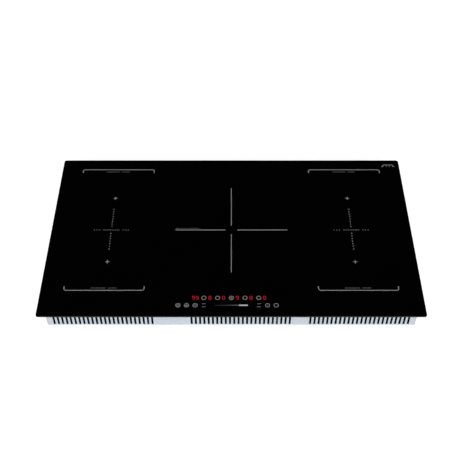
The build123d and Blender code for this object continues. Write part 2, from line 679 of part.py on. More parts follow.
def insulation_sheet(tray):
    """Mica sheet over the coils of one tray, with holes for the sensors."""
    coils = [(x, y, r) for x, y, r, on_tray in coil_places().values() if on_tray == tray]
    made = [disc(r + FORMER_RIM, WINDING_TOP, INSULATION_TOP, x, y) for x, y, r in coils]
    if len(coils) > 1:
        (x, y0, r), (_, y1, _) = coils
        half = r + FORMER_RIM
        made.append(block(x - half, x + half, y0, y1, WINDING_TOP, INSULATION_TOP))
    sheet = made[0] + made[1:] if len(made) > 1 else made[0]
    hole = SENSOR_RADIUS + SLIP_FIT
    low, high = WINDING_TOP - OVERCUT, INSULATION_TOP + OVERCUT
    return sheet - [disc(hole, low, high, x, y) for x, y, _ in coils]


def temperature_sensors(tray):
    """Thermistor capsules that touch the glass through the coils' centres."""
    made = []
    for x, y, _, on_tray in coil_places().values():
        if on_tray != tray:
            continue
        capsule = disc(SENSOR_RADIUS, FERRITE_TOP, INSULATION_TOP, x, y)
        rim = capsule.edges().group_by(Axis.Z)[-1]
        made.append(fillet(rim, SENSOR_FILLET))
    return group(made)


# ---- blowers -------------------------------------------------------------------------
def volute(inset):
    """Outline of a blower seen from above, shrunk by inset, with its outlet towards -Y."""
    left = -BLOWER_RADIUS + inset
    right = BLOWER_OUTLET_FAR_X - inset
    outlet = Pos((left + right) / 2, -BLOWER_OUTLET_REACH / 2)
    duct = outlet * Rectangle(right - left, BLOWER_OUTLET_REACH)
    return Circle(BLOWER_RADIUS - inset) + duct


def blower_housing(x):
    """Volute wall and intake plate. The lid closes it from above."""
    wall_top = CEILING - BLOWER_LID
    height = wall_top - BLOWER_BOTTOM
    shell = extrude(Pos(0, 0, BLOWER_BOTTOM) * volute(0), height)
    hollow = extrude(Pos(0, 0, BLOWER_BOTTOM + BLOWER_WALL) * volute(BLOWER_WALL), height)
    left, right = BLOWER_WALL - BLOWER_RADIUS, BLOWER_OUTLET_FAR_X - BLOWER_WALL
    front = -BLOWER_OUTLET_REACH
    floor_top = BLOWER_BOTTOM + BLOWER_WALL
    outlet = block(
        left, right, front - OVERCUT, front + 2 * BLOWER_WALL, floor_top, wall_top + OVERCUT
    )
    intake = disc(BLOWER_INTAKE_RADIUS, BLOWER_BOTTOM - OVERCUT, floor_top + OVERCUT)
    return Pos(x, BLOWER_Y, 0) * (shell - hollow - outlet - intake)


def blower_lid(x):
    bottom = CEILING - BLOWER_LID
    plate = extrude(Pos(0, 0, bottom) * volute(0), BLOWER_LID)
    seat = disc(SHAFT_RADIUS + BEARING_WALL, bottom - OVERCUT, CEILING + OVERCUT)
    return Pos(x, BLOWER_Y, 0) * (plate - seat)


def blower_motor(x):
    """Bearing tube held in the lid, with the stator round it."""
    bore = SHAFT_RADIUS + SHAFT_CLEARANCE
    cup_floor = CEILING - BLOWER_LID - ROTOR_END_GAP - CUP_DEPTH + CUP_WALL
    bottom = cup_floor + STATOR_END_GAP
    top = CEILING - BLOWER_LID - STATOR_GAP
    bearing = tube(SHAFT_RADIUS + BEARING_WALL, bore, bottom, CEILING)
    stator_radius = CUP_RADIUS - CUP_WALL - STATOR_GAP
    low, high = bottom + STATOR_STEP, top - STATOR_STEP
    half = POLE_WIDTH / 2
    pole = block(0, stator_radius - POLE_TIP_GAP, -half, half, low, high)
    poles = [Rot(0, 0, 360 * i / STATOR_POLES) * pole for i in range(STATOR_POLES)]
    rim = tube(stator_radius, stator_radius - POLE_RIM, low, high)
    bore_out = disc(SHAFT_RADIUS + BEARING_WALL / 2, bottom - OVERCUT, top + OVERCUT)
    core = (rim + poles) - bore_out
    return Pos(x, BLOWER_Y, 0) * (bearing + core)


def blower_rotor(x):
    """Outer-rotor cup with its shaft, back plate, blades and stiffening ring."""
    top = CEILING - BLOWER_LID - ROTOR_END_GAP
    bottom = BLOWER_BOTTOM + BLOWER_WALL + ROTOR_END_GAP
    cup_bottom = top - CUP_DEPTH
    cup = disc(CUP_RADIUS, cup_bottom, top)
    cup -= disc(CUP_RADIUS - CUP_WALL, cup_bottom + CUP_WALL, top + OVERCUT)
    shaft = disc(SHAFT_RADIUS, cup_bottom, CEILING - BLOWER_LID / 2)
    plate = tube(ROTOR_RADIUS, CUP_RADIUS - CUP_WALL / 2, top - ROTOR_PLATE, top)
    ring_bottom = bottom + ROTOR_RING
    ring = tube(ROTOR_RADIUS, ROTOR_RADIUS - BLADE_CHORD / 2, bottom, ring_bottom)
    mid_radius = ROTOR_RADIUS - BLADE_RIM_GAP - BLADE_CHORD * cos(radians(BLADE_ANGLE)) / 2
    height = top - bottom - ROTOR_PLATE / 2 - ROTOR_RING / 2
    middle = bottom + ROTOR_RING / 2 + height / 2
    blade = Pos(mid_radius, 0, middle) * Rot(0, 0, BLADE_ANGLE)
    blade = blade * Box(BLADE_CHORD, BLADE_THICKNESS, height)
    blades = [Rot(0, 0, 360 * i / ROTOR_BLADES) * blade for i in range(ROTOR_BLADES)]
    return Pos(x, BLOWER_Y, 0) * (cup + shaft + plate + ring + blades)


# ---- power electronics ---------------------------------------------------------------
def power_board(side):
    x0, x1 = mirrored(BOARD_INNER, BOARD_OUTER, side)
    board = block(x0, x1, BOARD_FRONT, BOARD_REAR, BOARD_BOTTOM, BOARD_TOP)
    return fillet(board.edges().filter_by(Axis.Z), BOARD_CORNER_RADIUS)


def heatsink(x):
    rear = BOARD_REAR - PART_GAP / 2
    front = rear - HEATSINK_LENGTH
    half = HEATSINK_WIDTH / 2
    base_top = HEATSINK_BOTTOM + HEATSINK_BASE
    made = block(x - half, x + half, front, rear, HEATSINK_BOTTOM, base_top)
    fins = [
        block(c - HEATSINK_FIN / 2, c + HEATSINK_FIN / 2, front, rear, base_top - OVERCUT, CEILING)
        for c in row(x - half + HEATSINK_FIN / 2, x + half - HEATSINK_FIN / 2, HEATSINK_FINS)
    ]
    return made + fins


def power_transistors():
    """Switching transistors clamped between each board and its heatsink."""
    width, length, height = TRANSISTOR_SIZE
    made = []
    for side in SIDES.values():
        for i in range(TRANSISTORS_PER_BOARD):
            y = BOARD_REAR - PART_GAP - (i + 0.5) * TRANSISTOR_PITCH
            for dx in (-width, width):
                x = side * MODULE_X + dx
                made.append(Pos(x, y, BOARD_TOP + height / 2) * Box(width, length, height))
    return group(made)


def film_capacitors():
    """Resonance and filter capacitors beside the heatsinks and on the filter board."""
    width, length, height = CAPACITOR_SIZE
    places = []
    for side in SIDES.values():
        x = side * (MODULE_X + HEATSINK_WIDTH / 2 + PART_GAP + width / 2)
        for i in range(CAPACITORS_PER_BOARD):
            places.append((x, BOARD_REAR - PART_GAP - length / 2 - i * CAPACITOR_PITCH))
    filter_x = FILTER_BOARD_WIDTH / 2 - PART_GAP - width
    places += [(filter_x, ZONE_Y + s * FILTER_CAPACITOR_PITCH / 2) for s in (-1, 1)]
    made = []
    for x, y in places:
        can = Pos(x, y, BOARD_TOP + height / 2) * Box(width, length, height)
        made.append(fillet(can.edges().group_by(Axis.Z)[-1], CAPACITOR_FILLET))
    return group(made)


def filter_chokes():
    """Ring-core chokes on the power boards and on the filter board."""
    places = []
    for side in SIDES.values():
        x = side * (MODULE_X - HEATSINK_WIDTH / 2 - PART_GAP - CHOKE_RADIUS)
        for i in range(CHOKES_PER_BOARD):
            places.append((x, BOARD_REAR - PART_GAP - CHOKE_RADIUS - i * CHOKE_PITCH))
    places += [(FILTER_CHOKE_FIRST_X + i * CHOKE_PITCH, ZONE_Y) for i in range(FILTER_CHOKES)]
    top = BOARD_TOP + CHOKE_THICKNESS
    made = []
    for x, y in places:
        core = tube(CHOKE_RADIUS, CHOKE_BORE, BOARD_TOP, top, x, y)
        made.append(fillet(core.edges().group_by(Axis.Z)[-1], CHOKE_FILLET))
    return group(made)


def filter_board():
    half_x, half_y = FILTER_BOARD_WIDTH / 2, FILTER_BOARD_DEPTH / 2
    board = block(-half_x, half_x, ZONE_Y - half_y, ZONE_Y + half_y, BOARD_BOTTOM, BOARD_TOP)
    return fillet(board.edges().filter_by(Axis.Z), BOARD_CORNER_RADIUS)


def board_standoffs():
    outlines = [(*mirrored(BOARD_INNER, BOARD_OUTER, s), BOARD_FRONT, BOARD_REAR)
                for s in SIDES.values()]
    half_x, half_y = FILTER_BOARD_WIDTH / 2, FILTER_BOARD_DEPTH / 2
    outlines.append((-half_x, half_x, ZONE_Y - half_y, ZONE_Y + half_y))
    made = []
    for x0, x1, y0, y1 in outlines:
        for x in (x0 + STANDOFF_INSET, x1 - STANDOFF_INSET):
            for y in (y0 + STANDOFF_INSET, y1 - STANDOFF_INSET):
                made.append(disc(STANDOFF_RADIUS, FLOOR, BOARD_BOTTOM, x, y))
    return group(made)


# ---- touch controls ------------------------------------------------------------------
def zone_key_places():
    return [ZONE_KEY_FIRST_X + i * ZONE_KEY_PITCH for i in range(ZONE_KEYS)]


def control_board():
    bottom = CONTROL_TOP - BOARD_THICKNESS
    board = block(CONTROL_LEFT, CONTROL_RIGHT, CONTROL_FRONT, CONTROL_REAR, bottom, CONTROL_TOP)
    return fillet(board.edges().filter_by(Axis.Z), BOARD_CORNER_RADIUS)


def touch_contacts():
    """Conductive pads between the control board and the glass, one for each key."""
    half = SLIDER_LENGTH / 2 - CONTACT_RADIUS
    places = [(x, DISPLAY_ROW_Y) for x in zone_key_places()]
    places += [(x, KEY_ROW_Y) for x in KEY_POSITIONS]
    places += [(x, KEY_ROW_Y) for x in row(-half, half, SLIDER_CONTACTS)]
    return group(disc(CONTACT_RADIUS, CONTROL_TOP, GLASS_UNDERSIDE, x, y) for x, y in places)


def display_modules():
    """One digit beside each zone key, and two for the timer."""
    modules = [(x + DIGIT_OFFSET, DIGIT_MODULE) for x in zone_key_places()]
    modules.append((TIMER_X, TIMER_MODULE))
    made = []
    for x, (width, length, height) in modules:
        made.append(Pos(x, DISPLAY_ROW_Y, CONTROL_TOP + height / 2) * Box(width, length, height))
    return group(made)


def control_bracket():
    """Moulded bridge that holds the control board up to the glass."""
    top = CONTROL_TOP - BOARD_THICKNESS
    bottom = top - BRACKET_PLATE
    made = block(CONTROL_LEFT, CONTROL_RIGHT, CONTROL_FRONT, CONTROL_REAR, bottom, top)
    for x0 in (CONTROL_LEFT, CONTROL_RIGHT - BRACKET_LEG):
        made += block(x0, x0 + BRACKET_LEG, CONTROL_FRONT, CONTROL_REAR, FLOOR, bottom)
    return made


# ---- mains connection ----------------------------------------------------------------
def mouth_outline(grow, y0, y1):
    """The terminal housing's mouth through the rear wall, grown by a clearance."""
    half = MOUTH_WIDTH / 2 + TERMINAL_WALL + grow
    x = MODULE_X
    z0, z1 = MOUTH_BOTTOM - MOUTH_SILL + PAN_BEND_RADIUS - grow, MOUTH_TOP + TERMINAL_WALL + grow
    return block(x - half, x + half, y0, y1, z0, z1)


def gland_axis_plane(y):
    """A plane across the cable's axis, facing into the pan."""
    return Plane((MODULE_X + GLAND_OFFSET, y, GLAND_Z), x_dir=(1, 0, 0), z_dir=(0, -1, 0))


def terminal_housing():
    x0, x1 = MODULE_X - TERMINAL_LEFT, MODULE_X + TERMINAL_RIGHT
    wall = TERMINAL_WALL
    made = block(x0, x1, TERMINAL_FRONT, TERMINAL_BACK, FLOOR + PAN_BEND_RADIUS, TERMINAL_TOP)
    foot_back = TERMINAL_BACK - PAN_BEND_RADIUS
    foot_top = FLOOR + PAN_BEND_RADIUS + OVERCUT
    made += block(x0, x1, TERMINAL_FRONT, foot_back, FLOOR, foot_top)
    made += mouth_outline(0, TERMINAL_BACK - OVERCUT, PAN_HALF_Y)
    made -= block(x0 + wall, x1 - wall, TERMINAL_FRONT + wall, TERMINAL_BACK - wall,
                  MOUTH_BOTTOM, MOUTH_TOP)
    half = MOUTH_WIDTH / 2
    made -= block(MODULE_X - half, MODULE_X + half, TERMINAL_BACK - wall - OVERCUT,
                  PAN_HALF_Y + OVERCUT, MOUTH_BOTTOM, MOUTH_TOP)
    pin = Plane((MODULE_X - half - COVER_PIN_LENGTH - SLIP_FIT, HINGE_Y, HINGE_Z), z_dir=(1, 0, 0))
    bore = COVER_PIN_RADIUS + COVER_PIN_CLEARANCE
    made -= extrude(pin * Circle(bore), MOUTH_WIDTH + 2 * (COVER_PIN_LENGTH + SLIP_FIT))
    gland = gland_axis_plane(TERMINAL_BACK + OVERCUT) * Circle(GLAND_BODY_RADIUS + SLIP_FIT)
    made -= extrude(gland, wall + 2 * OVERCUT)
    for shift in lead_rows():
        y = TERMINAL_FRONT + TERMINAL_DEPTH / 2 + shift
        entry = Plane((x0 - OVERCUT, y, LEAD_Z), z_dir=(1, 0, 0))
        made -= extrude(entry * Circle(LEAD_RADIUS + SLIP_FIT), wall + 2 * OVERCUT)
    return made


def terminal_cover():
    """Snap-shut cover that swings outwards and down on two moulded pins."""
    half = MOUTH_WIDTH / 2 - COVER_GAP
    back = PAN_HALF_Y
    top = MOUTH_TOP - COVER_GAP
    plate = block(MODULE_X - half, MODULE_X + half, back - COVER_THICKNESS, back, HINGE_Z, top)
    barrel = Plane((MODULE_X - half, HINGE_Y, HINGE_Z), z_dir=(1, 0, 0))
    made = plate + extrude(barrel * Circle(COVER_BARREL_RADIUS), 2 * half)
    reach = half + COVER_GAP + COVER_PIN_LENGTH
    pin = Plane((MODULE_X - reach, HINGE_Y, HINGE_Z), z_dir=(1, 0, 0))
    made += extrude(pin * Circle(COVER_PIN_RADIUS), 2 * reach)
    width, height, depth = COVER_NOTCH
    made -= block(MODULE_X - width / 2, MODULE_X + width / 2, back - depth, back + OVERCUT,
                  top - height, top + OVERCUT)
    return made


def terminal_block():
    width, depth, height = BLOCK_SIZE
    y = TERMINAL_FRONT + TERMINAL_DEPTH / 2
    made = Pos(MODULE_X, y, MOUTH_BOTTOM + height / 2) * Box(width, depth, height)
    made = fillet(made.edges().filter_by(Axis.X), BLOCK_FILLET)
    pitch = width / BLOCK_POLES
    for i in range(BLOCK_POLES):
        x = MODULE_X + (i - (BLOCK_POLES - 1) / 2) * pitch
        face_y = y + depth / 2 + OVERCUT
        wire = Plane((x, face_y, MOUTH_BOTTOM + height / 2), z_dir=(0, -1, 0))
        made -= extrude(wire * Circle(BLOCK_BORE_RADIUS), BLOCK_BORE_DEPTH + OVERCUT)
        top = MOUTH_BOTTOM + height
        made -= disc(BLOCK_SCREW_RADIUS, top - BLOCK_SCREW_DEPTH, top + OVERCUT, x, y)
    return made


def cable_gland():
    """Flanged bush in the rear wall that the mains cable comes through."""
    outside = gland_axis_plane(PAN_HALF_Y + GLAND_FLANGE)
    flange = extrude(outside * Circle(GLAND_FLANGE_RADIUS), GLAND_FLANGE)
    body = extrude(outside * Circle(GLAND_BODY_RADIUS), GLAND_LENGTH)
    entry = gland_axis_plane(PAN_HALF_Y + GLAND_FLANGE + OVERCUT)
    bore = extrude(entry * Circle(GLAND_BORE_RADIUS), GLAND_LENGTH + 2 * OVERCUT)
    bush = flange + body
    rim = bush.edges().filter_by(GeomType.CIRCLE).sort_by(Axis.Y)[-1]
    return fillet(rim, GLAND_FLANGE / 3) - bore


def lead_rows():
    """Distance of each lead from the middle one."""
    return [(i - (LEADS - 1) / 2) * LEAD_SPACING for i in range(LEADS)]


def mains_leads():
    """Insulated leads from the terminal block to the filter board.

    The rearmost lead turns last, so the leads lie side by side round both bends.
    """
    start_x = MODULE_X - BLOCK_SIZE[0] / 2
    end_x = FILTER_BOARD_WIDTH / 2 - 2 * PART_GAP
    post_x = TRAY_BORDER - TRAY_GAP / 2 - POST_INSET - POST_RADIUS
    made = []
    for shift in lead_rows():
        start_y = TERMINAL_FRONT + TERMINAL_DEPTH / 2 + shift
        turn_x = post_x - 2 * LEAD_SPACING - shift
        end_y = ZONE_Y + FILTER_BOARD_DEPTH / 2 - 2 * LEAD_SPACING + shift
        path = FilletPolyline(
            (start_x, start_y, LEAD_Z),
            (turn_x, start_y, LEAD_Z),
            (turn_x, end_y, LEAD_Z),
            (end_x, end_y, LEAD_Z),
            radius=LEAD_BEND_RADIUS,
        )
        section = Plane(path @ 0, z_dir=path % 0) * Circle(LEAD_RADIUS)
        made.append(sweep(section, path))
    return group(made)


# ---- the assembly --------------------------------------------------------------------
def assembly():
    """Node name: shape, for every piece."""
    nodes = {
        "glass_panel": glass_panel(),
        "worktop_seal": worktop_seal(),
        "glass_adhesive": glass_adhesive(),
        "support_frame": support_frame(),
        "base_pan": base_pan(),
        "pan_screws": pan_screws(),
        "spring_posts": spring_posts(),
        "power_transistors": power_transistors(),
        "film_capacitors": film_capacitors(),
        "filter_chokes": filter_chokes(),
        "filter_board": filter_board(),
        "board_standoffs": board_standoffs(),
        "control_board": control_board(),
        "touch_contacts": touch_contacts(),
        "display_modules": display_modules(),
        "control_bracket": control_bracket(),
        "terminal_housing": terminal_housing(),
        "terminal_cover": terminal_cover(),
        "terminal_block": terminal_block(),
        "cable_gland": cable_gland(),
        "mains_leads": mains_leads(),
    }
    for tray in tray_outlines():
        nodes[f"coil_tray_{tray}"] = coil_tray(tray)
        nodes[f"tray_springs_{tray}"] = tray_springs(tray)
        nodes[f"insulation_sheet_{tray}"] = insulation_sheet(tray)
        nodes[f"temperature_sensors_{tray}"] = temperature_sensors(tray)
    for name, (x, y, radius, tray) in coil_places().items():
        bars = CENTRE_FERRITES if tray == "centre" else SIDE_FERRITES
        nodes[f"coil_former_{name}"] = coil_former(x, y, radius)
        nodes[f"coil_winding_{name}"] = coil_winding(x, y, radius)
        nodes[f"ferrite_bars_{name}"] = ferrite_bars(x, y, radius, bars)
    for name, side in SIDES.items():
        nodes[f"blower_housing_{name}"] = blower_housing(side * MODULE_X)
        nodes[f"blower_lid_{name}"] = blower_lid(side * MODULE_X)
        nodes[f"blower_motor_{name}"] = blower_motor(side * MODULE_X)
        nodes[f"blower_rotor_{name}"] = blower_rotor(side * MODULE_X)
        nodes[f"power_board_{name}"] = power_board(side)
        nodes[f"heatsink_{name}"] = heatsink(side * MODULE_X)
    return nodes


os.makedirs("parts", exist_ok=True)
for node, shape in assembly().items():
    export_step(shape, f"parts/{node}.step")
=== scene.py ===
"""Looks of the built-in induction cooktop: materials, copies of the springs, printed marks, lit
digits, light and camera.

Everything is in metres in the CAD frame: z = 0 is the worktop plane, +Y is the rear.
"""

import json
import math

import bpy
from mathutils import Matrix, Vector


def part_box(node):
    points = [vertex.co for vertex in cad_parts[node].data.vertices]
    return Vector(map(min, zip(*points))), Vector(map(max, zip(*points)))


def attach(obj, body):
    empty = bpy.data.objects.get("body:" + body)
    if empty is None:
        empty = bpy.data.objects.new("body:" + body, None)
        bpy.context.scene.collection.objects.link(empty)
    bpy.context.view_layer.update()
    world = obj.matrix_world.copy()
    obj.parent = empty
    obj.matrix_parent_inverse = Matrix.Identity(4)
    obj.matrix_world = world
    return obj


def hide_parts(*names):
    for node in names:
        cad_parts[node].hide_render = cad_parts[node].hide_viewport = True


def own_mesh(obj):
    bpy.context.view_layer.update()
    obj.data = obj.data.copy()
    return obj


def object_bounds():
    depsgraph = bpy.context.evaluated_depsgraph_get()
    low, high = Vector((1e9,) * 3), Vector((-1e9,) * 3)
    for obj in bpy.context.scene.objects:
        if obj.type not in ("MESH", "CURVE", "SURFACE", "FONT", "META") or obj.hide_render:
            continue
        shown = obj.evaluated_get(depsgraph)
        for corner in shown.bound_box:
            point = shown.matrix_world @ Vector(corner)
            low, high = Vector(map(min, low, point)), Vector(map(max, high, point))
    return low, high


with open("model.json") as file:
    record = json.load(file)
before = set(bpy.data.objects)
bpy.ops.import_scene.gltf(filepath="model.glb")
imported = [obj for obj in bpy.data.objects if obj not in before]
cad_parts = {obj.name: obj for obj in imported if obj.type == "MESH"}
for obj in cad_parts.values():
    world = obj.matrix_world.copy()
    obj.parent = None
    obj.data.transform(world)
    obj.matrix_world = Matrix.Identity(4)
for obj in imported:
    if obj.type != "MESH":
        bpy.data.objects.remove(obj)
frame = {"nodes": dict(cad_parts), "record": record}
CAD_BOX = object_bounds()
MM = 0.001

# ---- places read from the frame ------------------------------------------------------
GLASS_LOW, GLASS_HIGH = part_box("glass_panel")
GLASS_TOP = GLASS_HIGH.z
FLOOR_Z = CAD_BOX[0].z


def middle(node):
    """The middle of a CAD node's box."""
    low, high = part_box(node)
    return (low + high) / 2


CENTRE_ZONE = middle("coil_winding_centre")
SIDE_ZONES = {
    side: (middle(f"coil_winding_front_{side}") + middle(f"coil_winding_rear_{side}")) / 2
    for side in ("left", "right")
}
HALF_COIL_PITCH = middle("coil_winding_rear_left").y - SIDE_ZONES["left"].y
CONTACT_RADIUS = 3 * MM
CONTACTS_LOW, CONTACTS_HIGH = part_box("touch_contacts")
KEY_ROW_Y = CONTACTS_LOW.y + CONTACT_RADIUS
DISPLAY_ROW_Y = CONTACTS_HIGH.y - CONTACT_RADIUS
KEY_ROW_START = CONTACTS_LOW.x + CONTACT_RADIUS
KEY_ROW_END = CONTACTS_HIGH.x - CONTACT_RADIUS

# ---- the printed marks ---------------------------------------------------------------
PRINT_HEIGHT = 0.03 * MM
LINE = 2.2 * MM
BRACKET_HALF_LENGTH = 95.5 * MM
BRACKET_REAR_INSET = 37.3 * MM  # rear glass edge to the rear brackets' lines
BRACKET_FRONT_INSET = 75.7 * MM
BRACKET_TICK = 12 * MM
BRACKET_CORNER = 5.5 * MM
MARKS_SHIFT = -5.5 * MM  # middle of the printed zones from the coils' middle
STAR_SHIFT = -2.3 * MM
STAR_SPREAD = 1.7 * MM  # each star from its coil's middle, away from the other star
CROSS_SIDE_ARM = 139.5 * MM
CROSS_REAR_ARM = 146.5 * MM
CROSS_FRONT_ARM = 136.5 * MM
CROSS_GAP = 15 * MM
CROSS_SIDE_LINE = 2.4 * MM
CROSS_LONG_LINE = 1.8 * MM  # the arms to the rear and front
STAR_RADIUS = 6.5 * MM
STAR_WAIST = 0.30  # the hollow sides' middles, as a share of the radius
DOT_RADIUS = 1.35 * MM
DOT_FIRST = 11.5 * MM
DOT_PITCH = 8.5 * MM
DOTS = 7
END_DASH = (4 * MM, 1.2 * MM)  # closes the rear dotted line
FINE_TICK = (2.8 * MM, 1.0 * MM, 3.0 * MM)  # a tick's height, width and pitch
TAG_TICK = (2.6 * MM, 1.0 * MM, 3.0 * MM)
ZONE_TICK = (3.1 * MM, 1.4 * MM, 4.2 * MM)
ZONE_END_TICK = (3.3 * MM, 1.6 * MM, 6.6 * MM)
BRACKET_SCALES = ((-32 * MM, 4 * MM), (9 * MM, 32 * MM))
BRACKET_SCALE_OFFSETS = {1: 8.5 * MM, -1: 7.0 * MM}  # at the rear and front brackets
ZONE_SCALE = (-21 * MM, 21 * MM)
ZONE_END_SCALES = ((-46 * MM, -26 * MM), (26 * MM, 46 * MM))
TAG_LENGTH = 61 * MM
TAG_OFFSET = 5 * MM
EMBLEM_LOOPS = 3
EMBLEM_LOOP_RADIUS = 4.2 * MM
EMBLEM_LEG = 2.5 * MM
EMBLEM_LEAD = 5 * MM
EMBLEM_LINE = 1.9 * MM
EMBLEM_SIDE_INSET = 30 * MM  # the glass's right edge to the symbol's middle
EMBLEM_REAR_INSET = 22 * MM
KEY_RADIUS = 5.8 * MM
KEY_LINE = 1.5 * MM
KEY_PITCH = 20 * MM
SYMBOL_LINE = 1.0 * MM
SYMBOL_REACH = 2.4 * MM
SYMBOL_INSET = 0.6 * SYMBOL_REACH  # the lock's shackle and the pause's bars, from the middle
SWITCH_ARC = (125, 415)  # degrees, so that the ring is open at the top
ZONE_KEY_PITCH = 32 * MM
ZONE_KEYS = 5
ZONE_KEY_SHIFT = -1.0 * MM  # the zone keys' middles from their contacts
STEP_KEY_X = 64 * MM
STEP_DASH = (9 * MM, 1.1 * MM)
STEP_DASH_OFFSET = 4.3 * MM
DIGIT_WIDTH = 6.2 * MM
DIGIT_HEIGHT = 10.6 * MM
DIGIT_LINE = 1.35 * MM
DIGIT_OFFSET = 14 * MM
DIGIT_SHIFT = -0.7 * MM  # the digits' middles from the keys' row
SEGMENT_GAP = 0.15 * MM
TIMER_X = -84 * MM
TIMER_PITCH = 8.6 * MM
ZONE_FIGURES = "80980"
TIMER_FIGURE = "9"
SLIDER_HALF_LENGTH = 38.2 * MM
SLIDER_TURN = 17.8 * MM  # where its lit end starts
SLIDER_START_HEIGHT = 1.4 * MM
SLIDER_TURN_HEIGHT = 2.8 * MM
SLIDER_END_HEIGHT = 3.6 * MM

# ---- inks and lights on the glass ----------------------------------------------------
PRINT_INK = (0.46, 0.46, 0.453)
FINE_INK = (0.30, 0.30, 0.295)
SLIDER_WHITE = (0.85, 0.86, 0.88)
SLIDER_STRENGTH = 0.5
DIGIT_RED = (0.62, 0.008, 0.022)
DIGIT_STRENGTH = 1.0
PATCH_DIP = 0.8  # a lit mark's darkest patches, as a share of its colour
UNLIT_SHARES = (0.10, 0.16)  # what its surface reflects, as shares of its colour

# ---- the camera: where it stands and what it takes in --------------------------------
CAMERA_PITCH = math.radians(48.07)
CAMERA_HEIGHT = 1.5796  # above the glass
CAMERA_FRONT = 1.4124  # in front of the glass's middle
SENSOR = 36.0  # millimetres, as LENS is
LENS = 66.41
SHIFT_X = -0.00285
CAMERA_REACH = 100.0

# ---- the light -----------------------------------------------------------------------
HORIZON_LIGHT = 0.9
HORIZON_FADE = (0.05, 0.28)  # sines of the elevations that it fades between
FRONT_LIGHT = 2.3
FRONT_LIGHT_ELEVATION = math.radians(35)
# cosines of the angles from its middle that it fades between
FRONT_LIGHT_FADE = (math.cos(math.radians(48)), math.cos(math.radians(12)))
DARK_SKY = 0.015
FLOOR_TONES = ((0.86, 0.86, 0.86), (0.88, 0.88, 0.88))
FLOOR_GLOW = 0.74
FLOOR_HALF_WIDTH = 30.0
FLOOR_GAP = 0.2 * MM  # keeps the floor and the pan apart


# ---- building flat printed solids ----------------------------------------------------
class Print:
    """Collects thin closed solids that lie on the glass, then makes them one piece."""

    def __init__(self, name):
        self.name = name
        self.vertices = []
        self.faces = []

    def outline(self, points):
        """A prism over a closed outline, given anticlockwise."""
        first = len(self.vertices)
        count = len(points)
        self.vertices += [(x, y, GLASS_TOP) for x, y in points]
        self.vertices += [(x, y, GLASS_TOP + PRINT_HEIGHT) for x, y in points]
        self.faces.append([first + i for i in reversed(range(count))])
        self.faces.append([first + count + i for i in range(count)])
        for i in range(count):
            j = (i + 1) % count
            self.faces.append([first + i, first + j, first + count + j, first + count + i])

    def bar(self, x0, x1, y0, y1):
        """A rectangle along the axes."""
        self.outline([(x0, y0), (x1, y0), (x1, y1), (x0, y1)])

    def line(self, start, end, width):
        """A straight bar between two points."""
        run = Vector(end) - Vector(start)
        side = Vector((-run.y, run.x)).normalized() * width / 2
        a, b = Vector(start), Vector(end)
        self.outline([tuple(p) for p in (a - side, b - side, b + side, a + side)])

    def disc(self, x, y, radius, sides=20):
        """A round dot."""
        turn = 2 * math.pi / sides
        self.outline([
            (x + radius * math.cos(i * turn), y + radius * math.sin(i * turn))
            for i in range(sides)
        ])

    def arc(self, x, y, radius, width, start=0.0, end=360.0, steps=40):
        """A band along a circle between two angles in degrees. A full turn closes on itself."""
        closed = end - start >= 360
        first = len(self.vertices)
        count = steps if closed else steps + 1
        for i in range(count):
            a = math.radians(start + (end - start) * i / steps)
            for r in (radius - width / 2, radius + width / 2):
                for z in (GLASS_TOP, GLASS_TOP + PRINT_HEIGHT):
                    self.vertices.append((x + r * math.cos(a), y + r * math.sin(a), z))
        # each station holds inner low, inner high, outer low, outer high
        for i in range(steps):
            a, b = first + 4 * i, first + 4 * ((i + 1) % count)
            self.faces += [
                [a + 1, a + 3, b + 3, b + 1],
                [a, b, b + 2, a + 2],
                [a + 2, b + 2, b + 3, a + 3],
                [a, a + 1, b + 1, b],
            ]
        if not closed:
            last = first + 4 * steps
            self.faces.append([first, first + 2, first + 3, first + 1])
            self.faces.append([last, last + 1, last + 3, last + 2])

    def star(self, x, y, radius):
        """Four points with hollow sides."""
        waist = radius * STAR_WAIST
        self.outline([
            (x + r * math.cos(math.radians(45 * i)), y + r * math.sin(math.radians(45 * i)))
            for i, r in enumerate([radius, waist] * 4)
        ])

    def make(self, material):
        """Makes the piece, which rides on the casing."""
        mesh = bpy.data.meshes.new(self.name)
        mesh.from_pydata(self.vertices, [], self.faces)
        mesh.update()
        piece = bpy.data.objects.new(self.name, mesh)
        bpy.context.scene.collection.objects.link(piece)
        mesh.materials.append(material)
        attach(piece, "casing")


